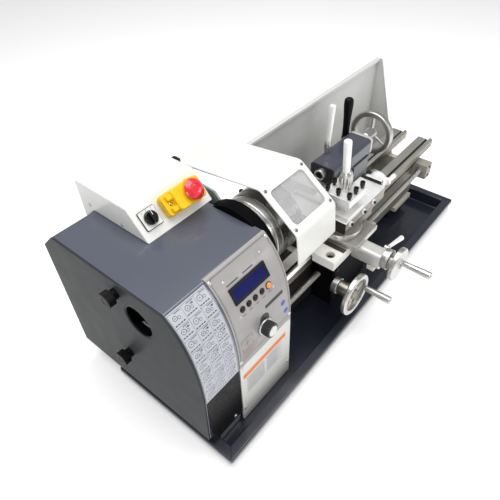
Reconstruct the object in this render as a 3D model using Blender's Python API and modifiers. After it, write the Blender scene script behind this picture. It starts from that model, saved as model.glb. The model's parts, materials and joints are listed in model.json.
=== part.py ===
"""Bench metal lathe with a variable-speed headstock, built as separate pieces.

All sizes in this file are millimetres and are scaled by MM when a mesh is made.
X runs from the left end of the headstock cover towards the tailstock, Y runs from the
spindle axis towards the back, and Z runs up from the underside of the chip tray.
"""
import math

import bmesh
import bpy
from mathutils import Matrix, Vector

MM = 0.001
GAP = 0.3
ROUND_STEPS = 28
SMALL_STEPS = 16
CURVE_STEPS = 10

# Chip tray and splash guard
SHEET = 2.0
TRAY_X = (0.0, 853.0)
TRAY_Y = (-154.0, 124.0)
TRAY_TOP = 32.0
FLANGE_WIDTH = 20.0
FLANGE_LIP = 10.0
SPLASH_X = (368.0, 856.0)
SPLASH_Y = 111.0
SPLASH_TOP = 332.0

# Bed
RAIL_X = (20.0, 863.0)
RAIL_BOTTOM = 150.0
WAY_TOP = 164.6
VEE_TOP = 170.3
WEB_X = (20.0, 800.0)
BED_BOTTOM = 50.0
RISERS_X = ((120.0, 206.0), (722.0, 804.0))
RISER_Y = (-44.0, 38.0)
RISER_TOP = 27.7
FOOT_Y = (-60.0, 48.0)
FOOT_Z = (28.0, 39.0)
RIB_PLACES = (250.0, 363.0, 476.0, 589.0, 702.0, 790.0)
RIB_THICKNESS = 14.0

# Headstock
SPINDLE_Z = 265.0
SPINDLE_RADIUS = 24.0
SPINDLE_BORE = 19.0
BEARING_RADIUS = 37.0
CASTING_X = (40.0, 204.7)
BOSS_RADIUS = 72.0
BOSS_END = 225.0
COVER_X = (3.3, 207.0)
COVER_TOP = 323.3
COVER_BACK = 216.0
COVER_BOTTOM = 46.0
CHAMFER_START = 182.0
CHAMFER_END = 291.5
COVER_CURVE = ((-60.0, 323.3), (-106.0, 284.0), (-113.0, 220.0), (-113.0, 165.0))
COVER_FOOT = -107.5
PANEL_X = (78.0, 207.0)
PANEL_THICKNESS = 4.0
PANEL_BOTTOM = 4.5
BUTTON_PLACES = (107.6, 121.6, 135.9, 151.2)
POWER_BUTTON_X = 166.5
BUTTON_DROP = 71.3
DISPLAY_X = (99.5, 175.0)
DISPLAY_DROP = (32.6, 58.8)
SPEED_KNOB_X = 140.0
SPEED_KNOB_DROP = 134.0

# Drive
MOTOR_Y = 140.0
MOTOR_Z = 130.0
MOTOR_RADIUS = 52.0
MOTOR_PULLEY_RADIUS = 22.0
SPINDLE_PULLEY_RADIUS = 46.0
BELT_THICKNESS = 3.0
BELT_STEPS = 22

# Chuck and its guard
CHUCK_RADIUS = 62.5
CHUCK_X = (251.0, 309.0)
CHUCK_BORE = 16.0
JAW_WIDTH = 14.0
JAW_ANGLES = (90.0, 210.0, 330.0)
GUARD_X = (252.0, 362.0)
GUARD_PIVOT = (184.5, 323.0)
GUARD_RIDGE = (-15.0, 351.3)
GUARD_BROW = (-89.4, 293.7)
WINDOW_X = (264.0, 350.0)
WINDOW_DROP = (12.0, 80.0)

# Switch box on top of the headstock
BOX_X = (80.0, 215.6)
BOX_FOOT = (52.7, 323.6)
BOX_CREST = (91.9, 369.8)
BOX_BACK = 214.7
SWITCH_X = 104.8
SWITCH_RISE = 31.0
STOP_X = (128.5, 199.0)
STOP_RISE = (14.0, 50.0)
STOP_BASE_HEIGHT = 10.3
STOP_LID_TOP = 24.0
STOP_BUTTON_X = 178.0

# Leadscrew
LEADSCREW_Y = -76.0
LEADSCREW_Z = 127.0
LEADSCREW_RADIUS = 6.0

# Carriage
SADDLE_X = (340.0, 480.0)
BRIDGE_X = (372.0, 455.0)
SADDLE_BOTTOM = 170.8
SADDLE_TOP = 180.0
SADDLE_Y = (-112.0, 60.0)
APRON_X = (345.0, 470.0)
APRON_Y = (-111.5, -64.5)
APRON_Z = (60.0, 159.6)
APRON_WHEEL_X = 349.0
APRON_WHEEL_Z = 120.0
APRON_WHEEL_RADIUS = 42.0
CROSS_SCREW_X = 415.0
CROSS_SCREW_Z = 174.0
CROSS_SLIDE_X = (384.0, 464.0)
CROSS_SLIDE_Y = (-127.5, 62.0)
CROSS_SLIDE_Z = (184.3, 196.0)
SWIVEL_X = 415.0
SWIVEL_Y = -75.0
COMPOUND_SCREW_Y = -75.0
COMPOUND_SCREW_Z = 228.0
COMPOUND_SLIDE_Z = (212.0, 238.0)
TOOLPOST_HALF = 28.0
TOOLPOST_Z = (238.3, 285.0)

# Tailstock
TAILSTOCK_X = (520.0, 600.0)
BARREL_X = (458.0, 596.0)
QUILL_RADIUS = 11.0
QUILL_X = (446.0, 560.0)
TAIL_WHEEL_X = (640.0, 654.0)
TAIL_WHEEL_RADIUS = 48.0
LOCK_X = 502.0
LOCK_Y = 19.0
CLAMP_PIVOT = (580.0, 215.0)
CLAMP_GRIP_Y = 38.0

# Finishes: base colour, roughness, metallic
SLATE_PAINT = ((0.10, 0.12, 0.15), 0.28, 0.0)
CREAM_PAINT = ((0.72, 0.68, 0.58), 0.45, 0.0)
WHITE_PAINT = ((0.82, 0.82, 0.80), 0.35, 0.0)
BLACK_PAINT = ((0.02, 0.02, 0.022), 0.40, 0.0)
GREY_PAINT = ((0.33, 0.36, 0.34), 0.50, 0.0)
SILVER_PANEL = ((0.62, 0.63, 0.64), 0.38, 0.8)
GROUND_STEEL = ((0.60, 0.59, 0.57), 0.30, 1.0)
DARK_STEEL = ((0.30, 0.28, 0.26), 0.38, 1.0)
CHROME = ((0.85, 0.85, 0.86), 0.10, 1.0)
BLACK_PLASTIC = ((0.015, 0.015, 0.017), 0.35, 0.0)
YELLOW_PLASTIC = ((0.95, 0.72, 0.02), 0.25, 0.0)
RED_PLASTIC = ((0.70, 0.02, 0.02), 0.22, 0.0)
ORANGE_PLASTIC = ((0.95, 0.35, 0.05), 0.25, 0.0)
SCREEN_GLASS = ((0.02, 0.03, 0.08), 0.08, 0.0)
CLEAR_PLASTIC = ((0.85, 0.88, 0.88), 0.08, 0.0)
BELT_RUBBER = ((0.03, 0.03, 0.03), 0.70, 0.0)


def clear_scene():
    for item in list(bpy.data.objects):
        bpy.data.objects.remove(item)


def new_collection(name):
    collection = bpy.data.collections.new(name)
    bpy.context.scene.collection.children.link(collection)
    return collection


def new_frame(name, place, parent=None, tilt=0.0):
    """An empty that carries pieces; tilt turns it about X, in radians."""
    frame = bpy.data.objects.new(name, None)
    frame.location = Vector(place) * MM
    frame.rotation_euler = (tilt, 0.0, 0.0)
    frame.parent = parent
    parts.objects.link(frame)
    return frame


clear_scene()
parts = new_collection("metal_lathe")
cutters = new_collection("cutters")
lathe = new_frame("lathe_frame", (-426.5, 15.0, 0.0))


# ---------------------------------------------------------------- shape tools

def blank(mesh, origin, frame):
    """Put a mesh in the scene as an unnamed blank, ready to be cut or made a part."""
    item = bpy.data.objects.new("blank", mesh)
    item.parent = frame or lathe
    item.location = Vector(origin) * MM
    item.hide_render = True
    item.display_type = "WIRE"
    cutters.objects.link(item)
    return item


def mesh_from(solid):
    mesh = bpy.data.meshes.new("blank")
    solid.to_mesh(mesh)
    solid.free()
    return mesh


def box(x, y, z, frame=None, origin=None):
    """A block between two X, two Y and two Z values."""
    low = Vector((x[0], y[0], z[0]))
    high = Vector((x[1], y[1], z[1]))
    middle = (low + high) / 2
    origin = Vector(origin) if origin else middle
    solid = bmesh.new()
    bmesh.ops.create_cube(solid, size=1.0)
    bmesh.ops.scale(solid, vec=(high - low) * MM, verts=solid.verts)
    bmesh.ops.translate(solid, vec=(middle - origin) * MM, verts=solid.verts)
    return blank(mesh_from(solid), origin, frame)


def rod(start, end, radius, end_radius=None, frame=None, origin=None, steps=SMALL_STEPS):
    """A cylinder, or a cone when end_radius is given, between two points."""
    start = Vector(start)
    end = Vector(end)
    middle = (start + end) / 2
    origin = Vector(origin) if origin else middle
    turn = Vector((0.0, 0.0, 1.0)).rotation_difference(end - start)
    place = Matrix.Translation((middle - origin) * MM) @ turn.to_matrix().to_4x4()
    solid = bmesh.new()
    bmesh.ops.create_cone(
        solid,
        cap_ends=True,
        segments=steps,
        radius1=radius * MM,
        radius2=(radius if end_radius is None else end_radius) * MM,
        depth=(end - start).length * MM,
        matrix=place,
    )
    return blank(mesh_from(solid), origin, frame)


def ball(middle, radius, frame=None, origin=None):
    origin = Vector(origin) if origin else Vector(middle)
    solid = bmesh.new()
    bmesh.ops.create_uvsphere(solid, u_segments=14, v_segments=8, radius=radius * MM)
    bmesh.ops.translate(solid, vec=(Vector(middle) - origin) * MM, verts=solid.verts)
    return blank(mesh_from(solid), origin, frame)


OUTLINE_TURNS = {
    "XY": Matrix.Identity(4),
    "YZ": Matrix(((0, 0, 1, 0), (1, 0, 0, 0), (0, 1, 0, 0), (0, 0, 0, 1))),
    "XZ": Matrix(((1, 0, 0, 0), (0, 0, -1, 0), (0, 1, 0, 0), (0, 0, 0, 1))),
}


def outline(points, plane, low, high, frame=None, holes=(), origin=(0.0, 0.0, 0.0)):
    """A flat outline in a plane, made solid between two values of the plane's normal axis."""
    curve = bpy.data.curves.new("outline", "CURVE")
    curve.dimensions = "2D"
    curve.fill_mode = "BOTH"
    curve.extrude = (high - low) / 2 * MM
    for loop in (points, *holes):
        spline = curve.splines.new("POLY")
        spline.points.add(len(loop) - 1)
        for corner, (a, b) in zip(spline.points, loop):
            corner.co = (a * MM, b * MM, 0.0, 1.0)
        spline.use_cyclic_u = True
    guide = bpy.data.objects.new("outline", curve)
    cutters.objects.link(guide)
    bpy.context.view_layer.update()
    mesh = bpy.data.meshes.new_from_object(guide.evaluated_get(bpy.context.evaluated_depsgraph_get()))
    bpy.data.objects.remove(guide)
    middle = (low + high) / 2 * MM
    lift = -middle if plane == "XZ" else middle
    mesh.transform(Matrix.Translation(-Vector(origin) * MM) @ OUTLINE_TURNS[plane]
                   @ Matrix.Translation((0.0, 0.0, lift)))
    solid = bmesh.new()
    solid.from_mesh(mesh)
    bmesh.ops.remove_doubles(solid, verts=solid.verts, dist=0.001 * MM)
    bmesh.ops.recalc_face_normals(solid, faces=solid.faces)
    return blank(mesh_from(solid), origin, frame)


def turned(profile, place, axis="X", frame=None, closed=True, steps=ROUND_STEPS):
    """A lathe-turned shape: (radius, distance along the axis) points down its outer side."""
    solid = bmesh.new()
    points = [solid.verts.new((radius * MM, 0.0, height * MM)) for radius, height in profile]
    for first, second in zip(points, points[1:]):
        solid.edges.new((first, second))
    if closed:
        solid.edges.new((points[-1], points[0]))
    item = blank(mesh_from(solid), place, frame)
    screw = item.modifiers.new("Turn", "SCREW")
    screw.steps = steps
    screw.render_steps = steps
    screw.use_merge_vertices = True
    screw.merge_threshold = 0.01 * MM
    item.rotation_euler = {"X": (0.0, math.pi / 2, 0.0), "Y": (-math.pi / 2, 0.0, 0.0),
                           "-X": (0.0, -math.pi / 2, 0.0), "-Y": (math.pi / 2, 0.0, 0.0),
                           "Z": (0.0, 0.0, 0.0)}[axis]
    return item


def ring(outer, inner, low, high, place, axis="X", frame=None, steps=ROUND_STEPS):
    return turned([(outer, high), (outer, low), (inner, low), (inner, high)],
                  place, axis, frame, True, steps)


def combine(item, tools, operation):
    for tool in tools:
        step = item.modifiers.new(operation.title(), "BOOLEAN")
        step.operation = operation
        step.solver = "EXACT"
        step.object = tool
    return item


def cut(item, *tools):
    return combine(item, tools, "DIFFERENCE")


def join(item, *tools):
    return combine(item, tools, "UNION")


def part(name, item, finish):
    """Name a finished blank, give it its own material and list it among the parts."""
    colour, roughness, metallic = finish
    material = bpy.data.materials.new(name + "_material")
    material.use_nodes = True
    shader = material.node_tree.nodes["Principled BSDF"]
    shader.inputs["Base Color"].default_value = (*colour, 1.0)
    shader.inputs["Roughness"].default_value = roughness
    shader.inputs["Metallic"].default_value = metallic
    item.name = name
    item.data.name = name
    item.data.materials.append(material)
    item.data.shade_smooth()
    item.data.set_sharp_from_angle(angle=math.radians(35.0))
    item.hide_render = False
    item.display_type = "TEXTURED"
    cutters.objects.unlink(item)
    parts.objects.link(item)
    return item


def bezier(corners, steps):
    """Points along a cubic curve in a plane."""
    points = []
    for i in range(steps + 1):
        t = i / steps
        weights = ((1 - t) ** 3, 3 * t * (1 - t) ** 2, 3 * t * t * (1 - t), t ** 3)
        points.append(tuple(sum(w * c[k] for w, c in zip(weights, corners)) for k in (0, 1)))
    return points


def arc(middle, radius, start, end, steps):
    """Points along a circle's arc, angles in degrees."""
    turn = [math.radians(start + (end - start) * i / steps) for i in range(steps + 1)]
    return [(middle[0] + radius * math.cos(a), middle[1] + radius * math.sin(a)) for a in turn]


def rounded_rectangle(a, b, radius, steps=3):
    corners = ((a[1] - radius, b[1] - radius, 0), (a[0] + radius, b[1] - radius, 90),
               (a[0] + radius, b[0] + radius, 180), (a[1] - radius, b[0] + radius, 270))
    points = []
    for x, y, start in corners:
        points += arc((x, y), radius, start, start + 90, steps)
    return points


def belt_loop(first, first_radius, second, second_radius, steps):
    """The outline of a belt stretched around two circles."""
    across = math.dist(first, second)
    lean = math.degrees(math.atan2(second[1] - first[1], second[0] - first[0]))
    spread = math.degrees(math.acos((first_radius - second_radius) / across))
    return (arc(first, first_radius, lean + spread, lean + 360 - spread, steps)
            + arc(second, second_radius, lean - spread, lean + spread, steps))


# ---------------------------------------------------------------- tray and bed

def chip_tray():
    x = TRAY_X
    y = TRAY_Y
    flange = box(x, y, (TRAY_TOP - FLANGE_LIP, TRAY_TOP))
    under = box((x[0] + SHEET, x[1] - SHEET), (y[0] + SHEET, y[1] - SHEET),
                (TRAY_TOP - FLANGE_LIP - 1, TRAY_TOP - SHEET))
    inset = FLANGE_WIDTH - SHEET
    pan = box((x[0] + inset, x[1] - inset), (y[0] + inset, y[1] - inset), (0.0, TRAY_TOP - SHEET / 2))
    basin = box((x[0] + FLANGE_WIDTH, x[1] - FLANGE_WIDTH), (y[0] + FLANGE_WIDTH, y[1] - FLANGE_WIDTH),
                (SHEET, TRAY_TOP + 5))
    cut(flange, under)
    join(flange, pan)
    cut(flange, basin)
    part("chip_tray", flange, SLATE_PAINT)


def splash_guard():
    """A tall back sheet with a hemmed top edge, and a tapering wing at its right end."""
    foot = TRAY_TOP + GAP
    back = SPLASH_Y + SHEET
    hem = SPLASH_Y - 8
    sheet = outline([(back, foot), (SPLASH_Y, foot), (SPLASH_Y, SPLASH_TOP - SHEET),
                     (hem + 1.5, SPLASH_TOP - SHEET), (hem + 1.5, SPLASH_TOP - 6),
                     (hem, SPLASH_TOP - 6), (hem, SPLASH_TOP), (back, SPLASH_TOP)],
                    "YZ", SPLASH_X[0], SPLASH_X[1] - 0.5)
    wing = outline([(back - 0.5, foot), (14.0, foot), (14.0, 40.0), (98.0, SPLASH_TOP - 0.5),
                    (back - 0.5, SPLASH_TOP - 0.5)], "YZ", SPLASH_X[1] - SHEET, SPLASH_X[1])
    join(sheet, wing)
    part("splash_guard", sheet, WHITE_PAINT)


def risers():
    for name, x in zip(("riser_left", "riser_right"), RISERS_X):
        block = box(x, RISER_Y, (SHEET + GAP, RISER_TOP))
        part(name, block, CREAM_PAINT)


def front_rail_section():
    return [(-63.0, RAIL_BOTTOM), (-26.0, RAIL_BOTTOM), (-26.0, WAY_TOP), (-46.0, WAY_TOP),
            (-46.0, WAY_TOP - 1.1), (-52.5, WAY_TOP - 1.1), (-52.5, VEE_TOP - 4),
            (-56.5, VEE_TOP), (-58.5, VEE_TOP), (-63.0, VEE_TOP - 4.5)]


def rear_rail_section():
    return [(5.0, RAIL_BOTTOM), (44.0, RAIL_BOTTOM), (44.0, WAY_TOP), (20.8, WAY_TOP),
            (20.8, WAY_TOP - 1.1), (15.0, WAY_TOP - 1.1), (15.0, VEE_TOP - 4),
            (11.0, VEE_TOP), (9.0, VEE_TOP), (5.0, VEE_TOP - 4)]


def bed():
    rail = outline(front_rail_section(), "YZ", *RAIL_X)
    pieces = [outline(rear_rail_section(), "YZ", *RAIL_X)]
    pieces.append(box(WEB_X, (-56.0, -44.0), (BED_BOTTOM, RAIL_BOTTOM + 1)))
    pieces.append(box(WEB_X, (28.0, 38.0), (BED_BOTTOM, RAIL_BOTTOM + 1)))
    for x in RIB_PLACES:
        pieces.append(box((x - RIB_THICKNESS / 2, x + RIB_THICKNESS / 2), (-45.0, 29.0),
                          (BED_BOTTOM + 10, RAIL_BOTTOM - 14)))
    for x in RISERS_X:
        pieces.append(box(x, FOOT_Y, FOOT_Z))
        pieces.append(box(x, RISER_Y, (FOOT_Z[1] - 1, BED_BOTTOM + 2)))
    join(rail, *pieces)
    part("bed", rail, CREAM_PAINT)


# ---------------------------------------------------------------- headstock

def cover_front(shift=0.0):
    return [(y + shift, z) for y, z in bezier(COVER_CURVE, CURVE_STEPS)]


def cover_section(shift=0.0, inset=0.0, bottom=COVER_BOTTOM):
    """The cover's side outline, drawn in by an inset for the hollow inside it."""
    front = [(y + shift + inset, z - inset) for y, z in bezier(COVER_CURVE, CURVE_STEPS)]
    back = COVER_BACK - inset
    return front + [(COVER_FOOT + shift + inset, bottom), (back, bottom),
                    (back, CHAMFER_END - inset / 2), (CHAMFER_START - inset / 2, COVER_TOP - inset)]


def headstock_cover():
    behind = PANEL_THICKNESS + GAP
    shell = outline(cover_section(), "YZ", COVER_X[0], PANEL_X[0] - GAP)
    wide = outline(cover_section(shift=behind), "YZ", PANEL_X[0] - 1.5, COVER_X[1])
    hollow = outline(cover_section(shift=behind, inset=SHEET, bottom=COVER_BOTTOM - 5), "YZ",
                     COVER_X[0] - 1, COVER_X[1] - SHEET)
    boss_hole = rod((COVER_X[1] - 5, 0, SPINDLE_Z), (COVER_X[1] + 5, 0, SPINDLE_Z), BOSS_RADIUS + GAP,
                    steps=ROUND_STEPS)
    bed_gap = box((COVER_X[1] - 5, COVER_X[1] + 5), (-100.0, 60.0), (COVER_BOTTOM - 6, 172.0))
    skirt = box((24.0, 76.5), (-107.0, -101.0), (4.0, COVER_BOTTOM + 14))
    join(shell, wide, skirt)
    cut(shell, hollow, boss_hole, bed_gap)
    part("headstock_cover", shell, SLATE_PAINT)


def end_cover():
    plate = outline(cover_section(), "YZ", 0.0, COVER_X[0] - GAP)
    cut(plate, rod((-5, 0, SPINDLE_Z), (5, 0, SPINDLE_Z), 29.0, steps=ROUND_STEPS))
    part("end_cover", plate, SLATE_PAINT)
    for name, y, z in (("cover_knob_upper", 37.0, 301.0), ("cover_knob_lower", 54.0, 147.0)):
        profile = [(0.0, 20.0), (11.0, 20.0), (12.5, 18.5), (12.5, 8.0), (9.0, 6.5), (9.0, GAP), (0.0, GAP)]
        part(name, turned(profile, (0.0, y, z), "-X", closed=False, steps=20), BLACK_PLASTIC)


def panel_frame(name, drop):
    """A frame on the panel's face: its Z points out of the face and its Y points up the face."""
    points = bezier(COVER_CURVE, 400)
    points.append((COVER_CURVE[-1][0], PANEL_BOTTOM))
    travelled = 0.0
    for first, second in zip(points, points[1:]):
        step = math.dist(first, second)
        if travelled + step >= drop:
            break
        travelled += step
    share = (drop - travelled) / step
    place = [a + (b - a) * share for a, b in zip(first, second)]
    slope = math.atan2(first[1] - second[1], first[0] - second[0])
    return new_frame(name, (0.0, *place), lathe, slope)


def control_panel():
    front = cover_front()
    face = front + [(front[-1][0], PANEL_BOTTOM)]
    back = [(y + PANEL_THICKNESS, z) for y, z in reversed(face)]
    panel = outline(face + back, "YZ", *PANEL_X)
    display_frame = panel_frame("display_frame", sum(DISPLAY_DROP) / 2)
    button_frame = panel_frame("button_frame", BUTTON_DROP)
    knob_frame = panel_frame("speed_knob_frame", SPEED_KNOB_DROP)
    half = (DISPLAY_DROP[1] - DISPLAY_DROP[0]) / 2
    cut(panel, box(DISPLAY_X, (-half, half), (-1.9, 5.0), display_frame))
    for x in BUTTON_PLACES:
        cut(panel, rod((x, 0, -8), (x, 0, 5), 4.6, frame=button_frame))
    cut(panel, rod((POWER_BUTTON_X, 0, -8), (POWER_BUTTON_X, 0, 5), 5.4, frame=button_frame))
    part("control_panel", panel, SILVER_PANEL)
    screen = box((DISPLAY_X[0] + GAP, DISPLAY_X[1] - GAP), (GAP - half, half - GAP), (-1.5, 0.8),
                 display_frame)
    part("lcd_display", screen, SCREEN_GLASS)
    for number, x in enumerate(BUTTON_PLACES, 1):
        button = rod((x, 0, -2), (x, 0, 3), 4.2, frame=button_frame)
        part(f"speed_button_{number}", button, BLACK_PLASTIC)
    power = rod((POWER_BUTTON_X, 0, -2), (POWER_BUTTON_X, 0, 3), 5.0, frame=button_frame)
    part("power_button", power, ORANGE_PLASTIC)
    profile = [(0.0, 19.0), (9.0, 19.0), (10.5, 17.0), (12.0, 5.0), (13.5, 3.0), (13.5, GAP), (0.0, GAP)]
    part("speed_knob", turned(profile, (SPEED_KNOB_X, 0, 0), "Z", knob_frame, False), BLACK_PLASTIC)


def headstock_casting():
    casting = box(CASTING_X, (-54.0, 58.0), (VEE_TOP + GAP, 312.0))
    boss = rod((CASTING_X[1] - 2, 0, SPINDLE_Z), (BOSS_END, 0, SPINDLE_Z), BOSS_RADIUS, steps=ROUND_STEPS)
    shoulder = box((185.0, 204.0), (-90.0, -50.0), (171.5, 200.0))
    lug = box((185.0, 204.0), (-90.0, -63.5), (112.0, 180.0))
    bore = rod((CASTING_X[0] - 2, 0, SPINDLE_Z), (BOSS_END + 2, 0, SPINDLE_Z), BEARING_RADIUS + GAP,
               steps=ROUND_STEPS)
    screw_bore = rod((183.0, LEADSCREW_Y, LEADSCREW_Z), (206.0, LEADSCREW_Y, LEADSCREW_Z),
                     LEADSCREW_RADIUS + GAP)
    join(casting, boss, shoulder, lug)
    cut(casting, bore, screw_bore)
    part("headstock_casting", casting, BLACK_PAINT)
    for name, low in (("spindle_bearing_rear", 41.0), ("spindle_bearing_front", 203.0)):
        bearing = ring(BEARING_RADIUS, SPINDLE_RADIUS + GAP, low, low + 18, (0, 0, SPINDLE_Z))
        part(name, bearing, GROUND_STEEL)


def spindle():
    profile = [(CHUCK_RADIUS, 250.6), (CHUCK_RADIUS, BOSS_END + 0.6), (SPINDLE_RADIUS, BOSS_END + 0.6),
               (SPINDLE_RADIUS, 12.0), (SPINDLE_BORE, 12.0), (SPINDLE_BORE, 250.6)]
    part("spindle", turned(profile, (0, 0, SPINDLE_Z)), GROUND_STEEL)


def belt_drive():
    part("motor", rod((45, MOTOR_Y, MOTOR_Z), (195, MOTOR_Y, MOTOR_Z), MOTOR_RADIUS, steps=ROUND_STEPS),
         BLACK_PAINT)
    small = rod((20, MOTOR_Y, MOTOR_Z), (44.7, MOTOR_Y, MOTOR_Z), MOTOR_PULLEY_RADIUS, steps=ROUND_STEPS)
    part("motor_pulley", small, GROUND_STEEL)
    large = ring(SPINDLE_PULLEY_RADIUS, SPINDLE_RADIUS + GAP, 14.0, 38.0, (0, 0, SPINDLE_Z))
    part("spindle_pulley", large, GROUND_STEEL)
    centres = ((0.0, SPINDLE_Z), SPINDLE_PULLEY_RADIUS + GAP, (MOTOR_Y, MOTOR_Z), MOTOR_PULLEY_RADIUS + GAP)
    inner = belt_loop(*centres, BELT_STEPS)
    outer = belt_loop(centres[0], centres[1] + BELT_THICKNESS, centres[2], centres[3] + BELT_THICKNESS,
                      BELT_STEPS)
    part("drive_belt", outline(outer, "YZ", 22.0, 37.0, holes=(inner,)), BELT_RUBBER)


# ---------------------------------------------------------------- switch box

def switch_box():
    crest_y, crest_z = BOX_CREST
    section = [BOX_FOOT, (CHAMFER_START + 0.2, BOX_FOOT[1]), (BOX_BACK, 293.1), (BOX_BACK, crest_z),
               BOX_CREST]
    shell = outline(section, "YZ", *BOX_X)
    lean = (crest_y - BOX_FOOT[0]) / (crest_z - BOX_FOOT[1])
    top = crest_z - SHEET
    bottom = BOX_FOOT[1] - 3.6
    start = BOX_FOOT[0] + SHEET * 1.35
    inside = [(start - 3.6 * lean, bottom), (CHAMFER_START - 2, bottom), (BOX_BACK - SHEET, 290.0),
              (BOX_BACK - SHEET, top), (start + (top - BOX_FOOT[1]) * lean, top)]
    cut(shell, outline(inside, "YZ", BOX_X[0] + SHEET, BOX_X[1] - SHEET))
    part("switch_box", shell, WHITE_PAINT)


def box_slope():
    angle = math.atan2(BOX_CREST[1] - BOX_FOOT[1], BOX_CREST[0] - BOX_FOOT[0])
    return new_frame("switch_slope", (0.0, *BOX_FOOT), lathe, angle)


def direction_switch(slope):
    plate = box((SWITCH_X - 15.5, SWITCH_X + 15.5), (SWITCH_RISE - 15.5, SWITCH_RISE + 15.5),
                (GAP, 3.3), slope)
    part("direction_switch_plate", plate, WHITE_PAINT)
    centre = (SWITCH_X, SWITCH_RISE, 0.0)
    knob = rod((SWITCH_X, SWITCH_RISE, 3.6), (SWITCH_X, SWITCH_RISE, 9.0), 11.0, frame=slope,
               origin=centre, steps=20)
    pointer = box((SWITCH_X - 3, SWITCH_X + 3), (SWITCH_RISE - 10, SWITCH_RISE + 10), (8.0, 16.0), slope)
    join(knob, pointer)
    part("direction_switch_knob", knob, BLACK_PLASTIC)


def emergency_stop(slope):
    middle = sum(STOP_RISE) / 2
    footprint = rounded_rectangle(STOP_X, STOP_RISE, 6.0)
    base = outline(footprint, "XY", GAP, STOP_BASE_HEIGHT, slope)
    part("estop_base", base, YELLOW_PLASTIC)
    pivot = (STOP_X[0], middle, STOP_BASE_HEIGHT + 0.15)
    lid = outline(footprint, "XY", STOP_BASE_HEIGHT + GAP, STOP_LID_TOP, slope, origin=pivot)
    cut(lid, rod((STOP_BUTTON_X, middle, 5), (STOP_BUTTON_X, middle, 30), 9.4, frame=slope, steps=20))
    part("estop_lid", lid, YELLOW_PLASTIC)
    profile = [(0.0, 36.0), (9.0, 35.6), (15.0, 33.8), (17.0, 31.0), (16.5, 28.3), (9.0, 28.3),
               (9.0, 15.0), (0.0, 15.0)]
    button = turned(profile, (STOP_BUTTON_X, middle, 0), "Z", slope, False)
    part("estop_button", button, RED_PLASTIC)


# ---------------------------------------------------------------- chuck and guard

def chuck():
    body = ring(CHUCK_RADIUS, CHUCK_BORE, *CHUCK_X, (0, 0, SPINDLE_Z))
    slot_floor = CHUCK_X[1] - 16
    half = JAW_WIDTH / 2
    for number, degrees in enumerate(JAW_ANGLES, 1):
        angle = math.radians(degrees - 90)
        frame = new_frame(f"jaw_frame_{number}", (0, 0, SPINDLE_Z), lathe, angle)
        cut(body, box((slot_floor, CHUCK_X[1] + 5), (-half - GAP, half + GAP), (0, 75), frame))
        step_low = box((slot_floor + GAP, CHUCK_X[1] + 1), (-half, half), (16.5, 58.0), frame,
                       (slot_floor, 0, 0))
        step_mid = box((CHUCK_X[1], CHUCK_X[1] + 13), (-half, half), (16.5, 44.0), frame)
        step_top = box((CHUCK_X[1] + 12, CHUCK_X[1] + 24), (-half, half), (16.5, 30.0), frame)
        join(step_low, step_mid, step_top)
        part(f"chuck_jaw_{number}", step_low, GROUND_STEEL)
    part("chuck_body", body, CHROME)


def chuck_guard():
    pivot_y, pivot_z = GUARD_PIVOT
    section = [(180.0, 328.5), GUARD_RIDGE, GUARD_BROW, (-95.0, 232.0), (-87.0, 224.5), (-76.0, 255.0),
               (-61.0, 296.0), (-49.0, 304.5), (101.0, 299.5), (134.0, 323.0), (180.0, 323.0)]
    hood = outline(section, "YZ", *GUARD_X, origin=(0, pivot_y, pivot_z))
    inside = [(185.0, 325.9), (-14.5, 349.2), (-87.5, 292.7), (-93.0, 232.0), (-80.0, 205.0),
              (0.0, 240.0), (185.0, 290.0)]
    cut(hood, outline(inside, "YZ", GUARD_X[0] - 5, GUARD_X[1] - SHEET))
    knuckle = rod((GUARD_X[0] + 4, pivot_y, pivot_z), (GUARD_X[1] - 4, pivot_y, pivot_z), 6.0)
    bore = rod((GUARD_X[0] - 5, pivot_y, pivot_z), (GUARD_X[1] + 5, pivot_y, pivot_z), 4.3)
    join(hood, knuckle)
    slope_angle = math.atan2(GUARD_BROW[1] - GUARD_RIDGE[1], GUARD_BROW[0] - GUARD_RIDGE[0])
    brow = new_frame("guard_brow", (0, *GUARD_RIDGE), lathe, slope_angle)
    opening = outline(rounded_rectangle(WINDOW_X, WINDOW_DROP, 8.0), "XY", -6.0, 6.0, brow)
    cut(hood, bore, opening)
    part("chuck_guard", hood, WHITE_PAINT)
    pane = box((WINDOW_X[0] - 6, WINDOW_X[1] + 6), (WINDOW_DROP[0] - 5, WINDOW_DROP[1] + 7), (2.4, 3.9), brow)
    part("guard_window", pane, CLEAR_PLASTIC)


def guard_bracket():
    pivot_y, pivot_z = GUARD_PIVOT
    plate = outline([(60.0, 296.0), (130.0, 306.0), (192.0, 312.0), (192.0, 334.0), (120.0, 334.0),
                     (60.0, 330.0), (46.0, 315.0)], "YZ", 226.0, 230.0)
    tab = box((COVER_X[1] + GAP, 227.0), (76.0, 100.0), (280.0, 315.0))
    pin = rod((228.0, pivot_y, pivot_z), (GUARD_X[1] - 4, pivot_y, pivot_z), 4.0)
    join(plate, tab, pin)
    part("guard_bracket", plate, GREY_PAINT)


# ---------------------------------------------------------------- carriage

def leadscrew():
    collar = LEADSCREW_RADIUS + 3
    profile = [(0.0, 788.0), (LEADSCREW_RADIUS, 788.0), (LEADSCREW_RADIUS, 784.0), (collar, 784.0),
               (collar, 776.0), (LEADSCREW_RADIUS, 776.0), (LEADSCREW_RADIUS, 186.0), (0.0, 186.0)]
    screw = turned(profile, (0, LEADSCREW_Y, LEADSCREW_Z), closed=False, steps=20)
    part("leadscrew", screw, GROUND_STEEL)
    bracket = box((784.6, 812.0), (-92.0, -56.3), (105.0, 141.0))
    cut(bracket, rod((780, LEADSCREW_Y, LEADSCREW_Z), (790, LEADSCREW_Y, LEADSCREW_Z),
                     LEADSCREW_RADIUS + GAP))
    part("leadscrew_bracket", bracket, GREY_PAINT)


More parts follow.
